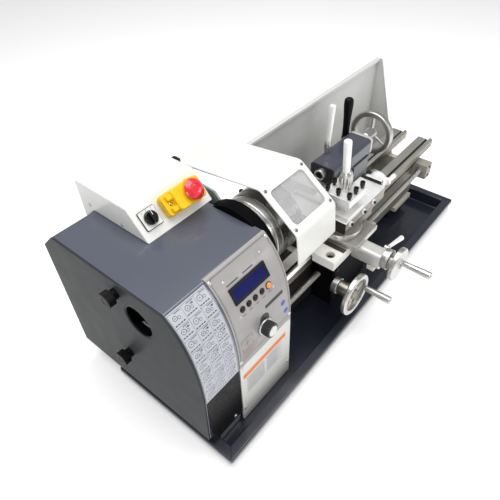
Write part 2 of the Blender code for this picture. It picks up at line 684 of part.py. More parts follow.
def saddle():
    bridge = box(BRIDGE_X, SADDLE_Y, (SADDLE_BOTTOM, SADDLE_TOP))
    top = (SADDLE_BOTTOM, SADDLE_TOP)
    front = box(SADDLE_X, (SADDLE_Y[0], -47.0), top)
    front_lip = box(SADDLE_X, (SADDLE_Y[0], -64.0), (160.0, SADDLE_TOP))
    rear = box(SADDLE_X, (22.5, SADDLE_Y[1]), top)
    rear_lip = box(SADDLE_X, (45.0, SADDLE_Y[1]), (150.0, SADDLE_TOP))
    way = box((385.0, 437.0), SADDLE_Y, (SADDLE_TOP - 1, CROSS_SLIDE_Z[0] - GAP))
    join(bridge, front, front_lip, rear, rear_lip, way)
    cut(bridge, rod((354.6, -94.2, 155.0), (354.6, -94.2, 185.0), 8.0))
    part("saddle", bridge, CREAM_PAINT)


def apron():
    """The gear case under the saddle, bored for the leadscrew, with its hand wheel in front."""
    case = box(APRON_X, APRON_Y, APRON_Z)
    cut(case, rod((APRON_X[0] - 5, LEADSCREW_Y, LEADSCREW_Z), (APRON_X[1] + 5, LEADSCREW_Y, LEADSCREW_Z),
                  LEADSCREW_RADIUS + GAP))
    part("apron", case, BLACK_PAINT)
    axis = (APRON_WHEEL_X, 0, APRON_WHEEL_Z)
    face = GAP - APRON_Y[0]
    rim = ring(APRON_WHEEL_RADIUS, APRON_WHEEL_RADIUS - 8, 151.0, 161.0, axis, "-Y")
    hub = [(0.0, 158.0), (9.0, 158.0), (11.0, 150.0), (13.0, 146.0), (14.0, face + 12), (16.0, face + 12),
           (16.0, face), (0.0, face)]
    join(rim, turned(hub, axis, "-Y", closed=False, steps=20))
    web = ring(APRON_WHEEL_RADIUS - 6, 8.0, 150.0, 154.0, axis, "-Y")
    join(rim, web)
    part("apron_wheel", rim, CHROME)
    handle = [(0.0, 214.0), (6.4, 213.0), (7.4, 209.0), (5.8, 175.0), (5.4, 161.3), (0.0, 161.3)]
    part("apron_handle", turned(handle, (APRON_WHEEL_X + 33, 0, APRON_WHEEL_Z - 8), "-Y", closed=False,
                                steps=SMALL_STEPS), CHROME)


def cross_feed():
    bracket = box((400.0, 431.0), (-171.0, SADDLE_Y[0] - GAP), (150.0, CROSS_SLIDE_Z[0] - 0.5))
    join(bracket, box((401.0, 418.0), (-162.0, -146.0), (140.0, 151.0)))
    part("cross_screw_bracket", bracket, GROUND_STEEL)
    axis = (CROSS_SCREW_X, 0, CROSS_SCREW_Z)
    profile = [(0.0, 206.0), (8.0, 206.0), (9.0, 204.0), (32.0, 204.0), (32.0, 194.0), (9.0, 194.0),
               (9.0, 187.0), (19.5, 186.0), (19.5, 171.3), (0.0, 171.3)]
    part("cross_wheel", turned(profile, axis, "-Y", closed=False), CHROME)
    handle = [(0.0, 258.0), (6.4, 257.0), (7.4, 253.0), (5.2, 219.0), (4.2, 204.3), (0.0, 204.3)]
    part("cross_handle", turned(handle, (432.0, 0, 164.0), "-Y", closed=False, steps=SMALL_STEPS), CHROME)


def feed_lever():
    pivot = (437.0, -165.0, 177.0)
    hub = rod((437.0, -170.0, 177.0), (437.0, -160.0, 177.0), 5.5, origin=pivot)
    arm = rod(pivot, (490.0, -167.8, 164.0), 3.0, 4.8)
    join(hub, arm, ball((493.0, -168.0, 163.2), 5.0))
    part("feed_lever", hub, CHROME)


def cross_slide():
    plate = box(CROSS_SLIDE_X, CROSS_SLIDE_Y, CROSS_SLIDE_Z)
    part("cross_slide", plate, DARK_STEEL)


def compound():
    centre = (SWIVEL_X, SWIVEL_Y, 0.0)
    low = CROSS_SLIDE_Z[1] + GAP + 0.2
    base = turned([(0.0, 207.0), (39.0, 207.0), (40.0, 205.0), (40.0, low), (0.0, low)], centre, "Z",
                  closed=False)
    join(base, box((385.0, 485.0), (-102.0, -50.0), (low + GAP, COMPOUND_SLIDE_Z[0] - GAP)))
    part("compound_base", base, DARK_STEEL)
    slide = box((383.0, 526.5), (-103.0, -47.0), COMPOUND_SLIDE_Z)
    join(slide, box((526.0, 534.0), (-94.0, -56.0), (213.0, 246.0)))
    part("compound_slide", slide, DARK_STEEL)
    axis = (0, COMPOUND_SCREW_Y, COMPOUND_SCREW_Z)
    dial = turned([(0.0, 557.0), (16.0, 557.0), (18.0, 555.0), (18.0, 534.5), (0.0, 534.5)], axis, "X",
                  closed=False)
    crank = box((556.5, 563.0), (-98.0, -68.0), (218.0, 234.0))
    handle = rod((562.0, -91.0, 224.0), (592.0, -91.0, 224.0), 4.0, 5.0)
    join(dial, crank, handle)
    part("compound_wheel", dial, CHROME)


def toolpost():
    x = (SWIVEL_X - TOOLPOST_HALF, SWIVEL_X + TOOLPOST_HALF)
    y = (SWIVEL_Y - TOOLPOST_HALF, SWIVEL_Y + TOOLPOST_HALF)
    centre = (SWIVEL_X, SWIVEL_Y, TOOLPOST_Z[0])
    post = box(x, y, (TOOLPOST_Z[0], 248.0), origin=centre)
    core = box((x[0] + 15, x[1] - 15), (y[0] + 15, y[1] - 15), (247.0, 271.0))
    top = box(x, y, (270.0, TOOLPOST_Z[1]))
    join(post, core, top)
    part("toolpost", post, GROUND_STEEL)
    foot = TOOLPOST_Z[1] + GAP
    profile = [(0.0, 325.0), (7.5, 324.0), (9.5, 321.0), (12.0, 312.0), (12.5, 303.0), (11.0, 292.0),
               (9.5, foot), (0.0, foot)]
    hub = turned(profile, (SWIVEL_X, SWIVEL_Y, 0), "Z", closed=False, steps=20)
    arm = rod((SWIVEL_X - 1, SWIVEL_Y, 312.0), (SWIVEL_X - 9, SWIVEL_Y, 386.0), 6.6, 7.3)
    join(hub, arm)
    part("toolpost_lever", hub, CHROME)


# ---------------------------------------------------------------- tailstock

def tailstock():
    base = box(TAILSTOCK_X, (-46.0, 21.5), (SADDLE_BOTTOM, 196.0))
    foot = box(TAILSTOCK_X, (-46.0, -27.0), (WAY_TOP + 0.4, SADDLE_BOTTOM + 1))
    stem = box((545.0, 575.0), (-20.0, 2.0), (142.0, SADDLE_BOTTOM + 1))
    plate = box((530.0, 590.0), (-38.0, 20.0), (138.0, RAIL_BOTTOM - 0.6))
    join(base, foot, stem, plate)
    part("tailstock_base", base, DARK_STEEL)
    barrel = outline(rounded_rectangle((-27.0, 27.0), (243.0, 281.4), 7.0), "YZ", *BARREL_X)
    column = box((525.0, 592.0), (-30.0, 18.0), (196.3, 250.0))
    cap = outline(rounded_rectangle((-26.0, 26.0), (244.0, 280.6), 6.0), "YZ", BARREL_X[1] - 1, 605.0)
    join(barrel, column, cap)
    cut(barrel, rod((BARREL_X[0] - 3, 0, SPINDLE_Z), (BARREL_X[1], 0, SPINDLE_Z), QUILL_RADIUS + GAP,
                    steps=20))
    cut(barrel, rod((BARREL_X[1] - 3, 0, SPINDLE_Z), (610.0, 0, SPINDLE_Z), 5.0))
    part("tailstock_body", barrel, SLATE_PAINT)


def quill():
    low, high = QUILL_X
    profile = [(QUILL_RADIUS, high), (QUILL_RADIUS, low + 1), (QUILL_RADIUS - 1, low), (7.0, low),
               (5.0, low + 40), (5.0, high)]
    part("quill", turned(profile, (0, 0, SPINDLE_Z), steps=20), CHROME)


def tailstock_wheel():
    low, high = TAIL_WHEEL_X
    inner = TAIL_WHEEL_RADIUS - 12
    rim = ring(TAIL_WHEEL_RADIUS, inner, low, high, (0, 0, SPINDLE_Z))
    hub = rod((605.3, 0, SPINDLE_Z), (high - 2, 0, SPINDLE_Z), 12.0)
    shaft = rod((500.0, 0, SPINDLE_Z), (606.0, 0, SPINDLE_Z), 4.2)
    middle = (low + high) / 2
    join(rim, hub, shaft)
    for turn in (90.0, 210.0, 330.0):
        reach = inner + 4
        tip = (middle, reach * math.cos(math.radians(turn)), SPINDLE_Z + reach * math.sin(math.radians(turn)))
        join(rim, rod((middle, 0, SPINDLE_Z), tip, 3.5, steps=12))
    part("tailstock_wheel", rim, CHROME)


def tailstock_levers():
    top = 281.4 + GAP
    pivot = (LOCK_X, LOCK_Y, top)
    hub = rod(pivot, (LOCK_X, LOCK_Y, 308.0), 7.4, origin=pivot)
    arm = rod((LOCK_X, LOCK_Y, 300.0), (LOCK_X + 7, LOCK_Y, 378.0), 5.6, 6.2)
    join(hub, arm)
    part("quill_lock_lever", hub, CHROME)
    x, z = CLAMP_PIVOT
    pivot = (x, CLAMP_GRIP_Y, z)
    boss = rod((x, 18.4, z), (x, 46.0, z), 9.0, origin=pivot)
    crank = rod((x, CLAMP_GRIP_Y, z), (603.0, CLAMP_GRIP_Y, 244.0), 5.0)
    grip = rod((603.0, CLAMP_GRIP_Y, 240.0), (603.0, CLAMP_GRIP_Y, 350.0), 8.5, 9.8)
    join(boss, crank, grip)
    part("tailstock_clamp_handle", boss, BLACK_PLASTIC)


def build_lathe():
    chip_tray()
    splash_guard()
    risers()
    bed()
    headstock_cover()
    end_cover()
    control_panel()
    headstock_casting()
    spindle()
    belt_drive()
    switch_box()
    slope = box_slope()
    direction_switch(slope)
    emergency_stop(slope)
    chuck()
    chuck_guard()
    guard_bracket()
    leadscrew()
    saddle()
    apron()
    cross_feed()
    feed_lever()
    cross_slide()
    compound()
    toolpost()
    tailstock()
    quill()
    tailstock_wheel()
    tailstock_levers()


build_lathe()
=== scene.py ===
"""Looks of the bench metal lathe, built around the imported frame.

Places are millimetres in lathe coordinates: X from the left end of the headstock, Y from
the spindle axis towards the back, Z up from the bench. The frame gives the origin and each node's
ranges; other numbers are dimensions of the lathe in the same coordinates.
"""

import json
import math

import bmesh
import bpy
from mathutils import Matrix, Vector


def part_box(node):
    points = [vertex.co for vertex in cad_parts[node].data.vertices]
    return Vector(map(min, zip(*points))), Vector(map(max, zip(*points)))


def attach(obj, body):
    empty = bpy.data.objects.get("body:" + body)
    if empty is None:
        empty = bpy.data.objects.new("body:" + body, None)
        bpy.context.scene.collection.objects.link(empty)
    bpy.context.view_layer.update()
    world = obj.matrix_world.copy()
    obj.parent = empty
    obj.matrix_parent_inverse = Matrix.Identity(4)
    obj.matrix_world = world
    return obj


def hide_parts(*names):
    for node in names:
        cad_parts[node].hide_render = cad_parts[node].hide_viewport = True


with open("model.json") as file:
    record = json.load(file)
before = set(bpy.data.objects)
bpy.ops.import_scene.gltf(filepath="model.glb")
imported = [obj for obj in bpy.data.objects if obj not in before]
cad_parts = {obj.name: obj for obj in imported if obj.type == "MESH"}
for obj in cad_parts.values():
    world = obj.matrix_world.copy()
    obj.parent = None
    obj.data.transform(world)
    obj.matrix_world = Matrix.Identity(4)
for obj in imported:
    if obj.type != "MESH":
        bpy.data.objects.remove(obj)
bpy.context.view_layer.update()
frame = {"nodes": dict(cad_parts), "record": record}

MM = 0.001
ROUND = 72
CHUCK_LOW, CHUCK_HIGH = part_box("chuck_body")
ORIGIN = Vector((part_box("end_cover")[0].x, (CHUCK_LOW.y + CHUCK_HIGH.y) / 2, 0.0))
SPINDLE_Z = (CHUCK_LOW.z + CHUCK_HIGH.z) / 2 / MM
TO_WORLD = Matrix.Translation(ORIGIN) @ Matrix.Scale(MM, 4)

# The headstock front is one curve with a straight skirt below it, given as (y, z).
FRONT_CURVE = ((-60.0, 323.3), (-106.0, 284.0), (-113.0, 220.0), (-113.0, 165.0))
FRONT_FOOT = (-113.0, 4.5)

# Dimensions used in more than one place. A drop is measured down the curve of the headstock front.
AXIS = (0.0, 0.0, SPINDLE_Z)
CHUCK_RADIUS = 62.5
PRINT_LIFT = 0.14
BUTTON_DROP = 71.3
KNOB_DROP = 134.0
GUARD_PIVOT = (0.0, 184.5, 323.0)
GUARD_RIDGE, GUARD_BROW = (-15.0, 351.3), (-89.4, 293.7)
SLOPE_FOOT, SLOPE_CREST = (52.7, 323.6), (91.9, 369.8)
STOP_BUTTON_X = 178.0
SWIVEL = (415.0, -75.0)


def reach(node):
    """A node's X, Y and Z ranges in lathe millimetres."""
    low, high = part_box(node)
    return [((low[i] - ORIGIN[i]) / MM, (high[i] - ORIGIN[i]) / MM) for i in range(3)]


def middle(span):
    return (span[0] + span[1]) / 2


def body_of(node):
    for body, nodes in frame["record"]["behaviour"]["bodies"].items():
        if node in nodes:
            return body
    return None


# ---------------------------------------------------------------- materials

class Graph:
    """A material's node tree with a Principled shader, and short calls to add nodes."""

    def __init__(self, name, colour, roughness, metallic=0.0, **sockets):
        self.material = bpy.data.materials.new(name)
        self.material.use_nodes = True
        self.tree = self.material.node_tree
        self.shader = self.tree.nodes["Principled BSDF"]
        self.shader.inputs["Base Color"].default_value = (*colour, 1.0)
        self.shader.inputs["Roughness"].default_value = roughness
        self.shader.inputs["Metallic"].default_value = metallic
        for socket, value in sockets.items():
            self.shader.inputs[socket.replace("_", " ")].default_value = value
        self.place = self.tree.nodes.new("ShaderNodeTexCoord").outputs["Object"]

    def node(self, kind, **inputs):
        made = self.tree.nodes.new(kind)
        for name, value in inputs.items():
            self.put(made.inputs[name.replace("_", " ")], value)
        return made

    def put(self, socket, value):
        if isinstance(value, bpy.types.NodeSocket):
            self.tree.links.new(value, socket)
        else:
            socket.default_value = value

    def stretched(self, scale):
        return self.node("ShaderNodeMapping", Vector=self.place, Scale=scale).outputs["Vector"]

    def noise(self, scale, detail=4.0, vector=None, roughness=0.55):
        made = self.node("ShaderNodeTexNoise", Vector=vector or self.place, Scale=scale, Detail=detail,
                         Roughness=roughness)
        return made.outputs["Fac"]

    def spread(self, value, low, high, start=0.3, end=0.7):
        made = self.node("ShaderNodeMapRange", Value=value)
        for name, number in (("From Min", start), ("From Max", end), ("To Min", low), ("To Max", high)):
            made.inputs[name].default_value = number
        return made.outputs["Result"]

    def mix(self, amount, first, second):
        made = self.tree.nodes.new("ShaderNodeMix")
        made.data_type = "RGBA"
        self.put(made.inputs[0], amount)
        for index, value in ((6, first), (7, second)):
            self.put(made.inputs[index], (*value, 1.0) if isinstance(value, tuple) else value)
        return made.outputs[2]

    def maths(self, operation, first, second=0.0):
        made = self.tree.nodes.new("ShaderNodeMath")
        made.operation = operation
        self.put(made.inputs[0], first)
        self.put(made.inputs[1], second)
        return made.outputs[0]

    def bump(self, height, strength, distance):
        made = self.node("ShaderNodeBump", Height=height, Strength=strength, Distance=distance)
        self.tree.links.new(made.outputs["Normal"], self.shader.inputs["Normal"])

    def paint_with(self, colour=None, roughness=None):
        if colour is not None:
            self.put(self.shader.inputs["Base Color"], colour)
        if roughness is not None:
            self.put(self.shader.inputs["Roughness"], roughness)


def shade(colour, factor):
    return tuple(min(1.0, c * factor) for c in colour)


def paint(name, colour, roughness=0.3, peel=0.05, coat=0.4, grime=0.12, gloss=0.5):
    """Sprayed enamel: faint orange peel, cloudy roughness and slight soiling."""
    g = Graph(name, colour, roughness, 0.0, Coat_Weight=coat, Coat_Roughness=0.07, Specular_IOR_Level=gloss)
    clouds = g.noise(9.0, 5.0)
    specks = g.noise(900.0, 2.0)
    soiled = g.mix(g.spread(clouds, 0.0, grime, 0.4, 0.75), colour, shade(colour, 0.72))
    g.paint_with(g.mix(g.spread(specks, 0.0, 0.10, 0.62, 0.72), soiled, shade(colour, 1.25)),
                 g.spread(g.noise(26.0, 6.0), roughness * 0.92, roughness * 1.12))
    g.bump(g.noise(520.0, 3.0), peel, 0.0006)
    return g.material


def metal(name, colour, roughness, grain=(1.0, 1.0, 1.0), depth=0.08, stain=0.15, metallic=1.0):
    """Machined metal: grain drawn out along one direction, with faint stains and oil."""
    g = Graph(name, colour, roughness, metallic)
    lines = g.noise(260.0, 3.0, g.stretched(grain))
    patches = g.noise(22.0, 6.0)
    dull = g.mix(g.spread(patches, 0.0, stain, 0.45, 0.75), colour, shade(colour, 0.45))
    g.paint_with(g.mix(g.spread(lines, 0.0, 0.22), dull, shade(colour, 1.3)),
                 g.maths("ADD", g.spread(lines, roughness * 0.7, roughness * 1.15),
                         g.spread(patches, 0.0, roughness * 0.5, 0.4, 0.8)))
    g.bump(lines, depth, 0.0004)
    return g.material


def turned_metal(name, colour, roughness, axis, pitch=0.5, depth=0.1):
    """Lathe-turned metal with fine rings about its axis."""
    g = Graph(name, colour, roughness, 1.0)
    rings = g.node("ShaderNodeTexWave", Vector=g.place, Scale=2 * math.pi / (20 * pitch * MM), Distortion=0.4,
                   Detail=2.0)
    rings.wave_type = "RINGS"
    rings.rings_direction = axis
    patches = g.noise(40.0, 5.0)
    fine = g.noise(700.0, 2.0)
    g.paint_with(g.mix(g.spread(patches, 0.0, 0.25), colour, shade(colour, 0.7)),
                 g.maths("ADD", g.spread(patches, roughness * 0.7, roughness * 1.3),
                         g.spread(fine, 0.0, 0.05)))
    g.bump(rings.outputs["Fac"], depth, 0.0002)
    return g.material


def plastic(name, colour, roughness=0.35, grain=0.1, **sockets):
    g = Graph(name, colour, roughness, 0.0, **sockets)
    patches = g.noise(60.0, 4.0)
    g.paint_with(g.mix(g.spread(patches, 0.0, 0.15), colour, shade(colour, 1.35)),
                 g.spread(g.noise(180.0, 5.0), roughness * 0.8, roughness * 1.25))
    g.bump(g.noise(1500.0, 2.0), grain, 0.0003)
    return g.material


def screen_material():
    """A dark blue display with a cloudy glow and faint character cells."""
    g = Graph("screen_blue", (0.01, 0.012, 0.10), 0.10, Emission_Strength=0.10, Specular_IOR_Level=0.25)
    cells = g.node("ShaderNodeTexBrick", Vector=g.place, Scale=260.0)
    cells.inputs["Color1"].default_value = (0.008, 0.011, 0.085, 1)
    cells.inputs["Color2"].default_value = (0.012, 0.016, 0.11, 1)
    cells.inputs["Mortar"].default_value = (0.004, 0.005, 0.05, 1)
    glow = g.mix(g.spread(g.noise(14.0, 2.0), 0.0, 0.7), cells.outputs["Color"], (0.004, 0.006, 0.07))
    g.paint_with(glow, g.spread(g.noise(90.0, 2.0), 0.06, 0.12))
    g.put(g.shader.inputs["Emission Color"], glow)
    return g.material


def clear_material():
    # A near-white pane colour at partial alpha lightens the window as painted reflection haze; the clouds in
    # it are random.
    g = Graph("clear_acrylic", (0.93, 0.95, 0.96), 0.05, Transmission_Weight=0.5, IOR=1.02)
    g.shader.inputs["Alpha"].default_value = 0.42
    g.paint_with(g.mix(g.spread(g.noise(30.0, 3.0), 0.0, 0.3), (0.97, 0.975, 0.98), (0.88, 0.90, 0.91)),
                 g.spread(g.noise(60.0, 6.0), 0.04, 0.16, 0.45, 0.7))
    g.bump(g.noise(400.0, 2.0), 0.03, 0.0002)
    return g.material


SLATE = paint("slate_enamel", (0.085, 0.095, 0.125), 0.22, 0.04, 0.5, 0.08)
TRAY_SLATE = paint("tray_enamel", (0.017, 0.020, 0.033), 0.30, 0.05, 0.5, 0.1)
END_SLATE = paint("end_enamel", (0.048, 0.050, 0.052), 0.36, 0.03, 0.0, 0.03, 0.035)
CREAM = paint("cream_enamel", (0.66, 0.64, 0.56), 0.42, 0.10, 0.15)
WHITE = paint("white_enamel", (0.80, 0.80, 0.77), 0.34, 0.05, 0.25, 0.06)
SHEET_WHITE = paint("sheet_enamel", (0.64, 0.64, 0.625), 0.34, 0.05, 0.2, 0.06)
SADDLE_CREAM = paint("saddle_enamel", (0.94, 0.92, 0.86), 0.40, 0.10, 0.15)
BLACK = paint("black_enamel", (0.003, 0.003, 0.004), 0.48, 0.08, 0.0, 0.12, 0.03)
GREYGREEN = paint("grey_green_enamel", (0.26, 0.31, 0.29), 0.45, 0.08, 0.2)
BEIGE = paint("beige_casting", (0.30, 0.285, 0.245), 0.50, 0.25, 0.1)
STEEL_X = metal("ground_steel_x", (0.66, 0.64, 0.60), 0.34, (0.02, 1.0, 1.0), 0.05, 0.2)
STEEL_Y = metal("ground_steel_y", (0.56, 0.55, 0.53), 0.28, (1.0, 0.02, 1.0))
OILED = metal("oiled_steel", (0.27, 0.245, 0.205), 0.32, (1.0, 0.05, 1.0), stain=0.5)
SLIDE_STEEL = metal("slide_steel", (0.58, 0.565, 0.535), 0.34, (1.0, 0.05, 1.0), stain=0.35)
RAIL_SIDE = metal("rail_side_steel", (0.34, 0.315, 0.27), 0.42, (0.05, 1.0, 1.0), stain=0.35)
# Near-black painted shade, laid on the risers, on the rail groove and the bed web under the rails, and on the
# compound's left end.
PAINTED_SHADE = paint("painted_shade_enamel", (0.022, 0.020, 0.017), 0.45, 0.12, 0.0, 0.2, 0.12)
DARK_STEEL = metal("dark_ground_steel", (0.40, 0.385, 0.36), 0.30, (0.05, 1.0, 1.0), stain=0.5)
POLISHED = metal("polished_steel", (0.62, 0.62, 0.61), 0.34, (1.0, 1.0, 0.2), 0.03, 0.08)
BRIGHT_STEEL = metal("bright_ground_steel", (0.84, 0.835, 0.82), 0.42, (1.0, 0.2, 1.0), 0.04, 0.06, 0.5)
# Lighter brown for the part of the front web out of the rails' shade: the lit copy beside the painted shade.
LIT_WEB_BROWN = paint("lit_web_casting", (0.17, 0.158, 0.135), 0.45, 0.15, 0.0, 0.25, 0.3)
TAIL_SLATE = paint("tailstock_enamel", (0.052, 0.058, 0.078), 0.22, 0.04, 0.4, 0.08)
CHROME = metal("satin_chrome", (0.56, 0.555, 0.54), 0.34, (1.0, 1.0, 1.0), 0.01, 0.05)
LEVER_SILVER = metal("lever_silver", (0.90, 0.90, 0.88), 0.40, (1.0, 1.0, 1.0), 0.01, 0.04, 0.35)
THREAD_STEEL = metal("thread_steel", (0.46, 0.45, 0.43), 0.40, (1.0, 1.0, 1.0), 0.03, 0.2)
TURNED_X = turned_metal("turned_steel_x", (0.52, 0.515, 0.50), 0.28, "X")
CHUCK_STEEL = turned_metal("chuck_steel", (0.18, 0.176, 0.167), 0.28, "X")
TURNED_Y = turned_metal("turned_steel_y", (0.52, 0.515, 0.50), 0.34, "Y", 0.5, 0.05)
COMPOUND_FRONT = metal("compound_front_steel", (0.36, 0.34, 0.31), 0.45, (0.05, 1.0, 1.0), stain=0.3)
SATIN_SILVER = metal("satin_silver", (0.66, 0.655, 0.635), 0.42, (1.0, 1.0, 1.0), 0.06, 0.08, 0.55)
CAST_WEB = metal("cast_web", (0.50, 0.47, 0.42), 0.55, (1.0, 1.0, 1.0), 0.3, 0.25, 0.6)
BLACK_OXIDE = metal("black_oxide", (0.018, 0.018, 0.02), 0.30, (1.0, 1.0, 1.0), 0.1, 0.2, 0.6)
BRUSHED_PANEL = metal("brushed_panel", (0.36, 0.345, 0.34), 0.48, (0.01, 1.0, 1.0), 0.05, 0.06, 0.5)
LOWER_PANEL = paint("lower_panel_enamel", (0.70, 0.70, 0.67), 0.42, 0.04, 0.2, 0.1)
GLOSS_BLACK = plastic("gloss_black", (0.006, 0.006, 0.007), 0.20, 0.03, Specular_IOR_Level=0.4)
DEEP_BLACK = plastic("deep_black", (0.004, 0.004, 0.005), 0.38, 0.03, Specular_IOR_Level=0.12)
SATIN_BLACK = plastic("satin_black", (0.014, 0.014, 0.015), 0.38, 0.12)
YELLOW = plastic("yellow_abs", (0.84, 0.52, 0.008), 0.34, 0.04, Specular_IOR_Level=0.3)
RED = plastic("red_abs", (0.72, 0.018, 0.035), 0.20, 0.03, Coat_Weight=0.6)
ORANGE = plastic("orange_button", (0.95, 0.30, 0.06), 0.25, 0.03, Subsurface_Weight=0.2)
LABEL = plastic("label_film", (0.47, 0.48, 0.53), 0.42, 0.02)
PLATE_WHITE = plastic("plate_white", (0.78, 0.78, 0.76), 0.32, 0.03)
INK = plastic("printed_black", (0.02, 0.02, 0.025), 0.45, 0.02)
INK_GREY = plastic("printed_grey", (0.30, 0.31, 0.36), 0.5, 0.02)
INK_BLUE = plastic("printed_blue", (0.05, 0.10, 0.42), 0.45, 0.02)
INK_ORANGE = plastic("printed_orange", (0.80, 0.20, 0.03), 0.45, 0.02)
INK_BROWN = plastic("printed_brown", (0.30, 0.14, 0.10), 0.45, 0.02)
BRASS = metal("brass", (0.70, 0.48, 0.18), 0.25, (1.0, 1.0, 1.0), 0.05, 0.2)
BELT = plastic("belt_rubber", (0.02, 0.02, 0.02), 0.7, 0.3)
SCREEN = screen_material()
CLEAR = clear_material()


# ---------------------------------------------------------------- shapes

TURNS = {
    "X": Matrix.Rotation(math.pi / 2, 4, "Y"), "-X": Matrix.Rotation(-math.pi / 2, 4, "Y"),
    "Y": Matrix.Rotation(-math.pi / 2, 4, "X"), "-Y": Matrix.Rotation(math.pi / 2, 4, "X"),
    "Z": Matrix.Identity(4),
}
PLANES = {
    "XY": Matrix.Identity(4),
    "YZ": Matrix(((0, 0, 1, 0), (1, 0, 0, 0), (0, 1, 0, 0), (0, 0, 0, 1))),
    "XZ": Matrix(((1, 0, 0, 0), (0, 0, -1, 0), (0, 1, 0, 0), (0, 0, 0, 1))),
}


def arc(centre, radius, start, end, steps):
    turn = [math.radians(start + (end - start) * i / steps) for i in range(steps + 1)]
    return [(centre[0] + radius * math.cos(a), centre[1] + radius * math.sin(a)) for a in turn]


def rounded_rectangle(a, b, radius, steps=6):
    corners = ((a[1] - radius, b[1] - radius, 0), (a[0] + radius, b[1] - radius, 90),
               (a[0] + radius, b[0] + radius, 180), (a[1] - radius, b[0] + radius, 270))
    points = []
    for x, y, start in corners:
        points += arc((x, y), radius, start, start + 90, steps)
    return points


def soften(profile, radius=0.6):
    """Replace each inner corner of an open profile with a short rounded stretch."""
    points = [profile[0]]
    for before, corner, after in zip(profile, profile[1:], profile[2:]):
        into = Vector(before) - Vector(corner)
        out = Vector(after) - Vector(corner)
        size = min(radius, into.length * 0.4, out.length * 0.4)
        first = Vector(corner) + into.normalized() * size
        last = Vector(corner) + out.normalized() * size
        for t in (0.0, 0.33, 0.67, 1.0):
            point = first * (1 - t) ** 2 + Vector(corner) * 2 * t * (1 - t) + last * t * t
            points.append(tuple(point))
    points.append(profile[-1])
    return points


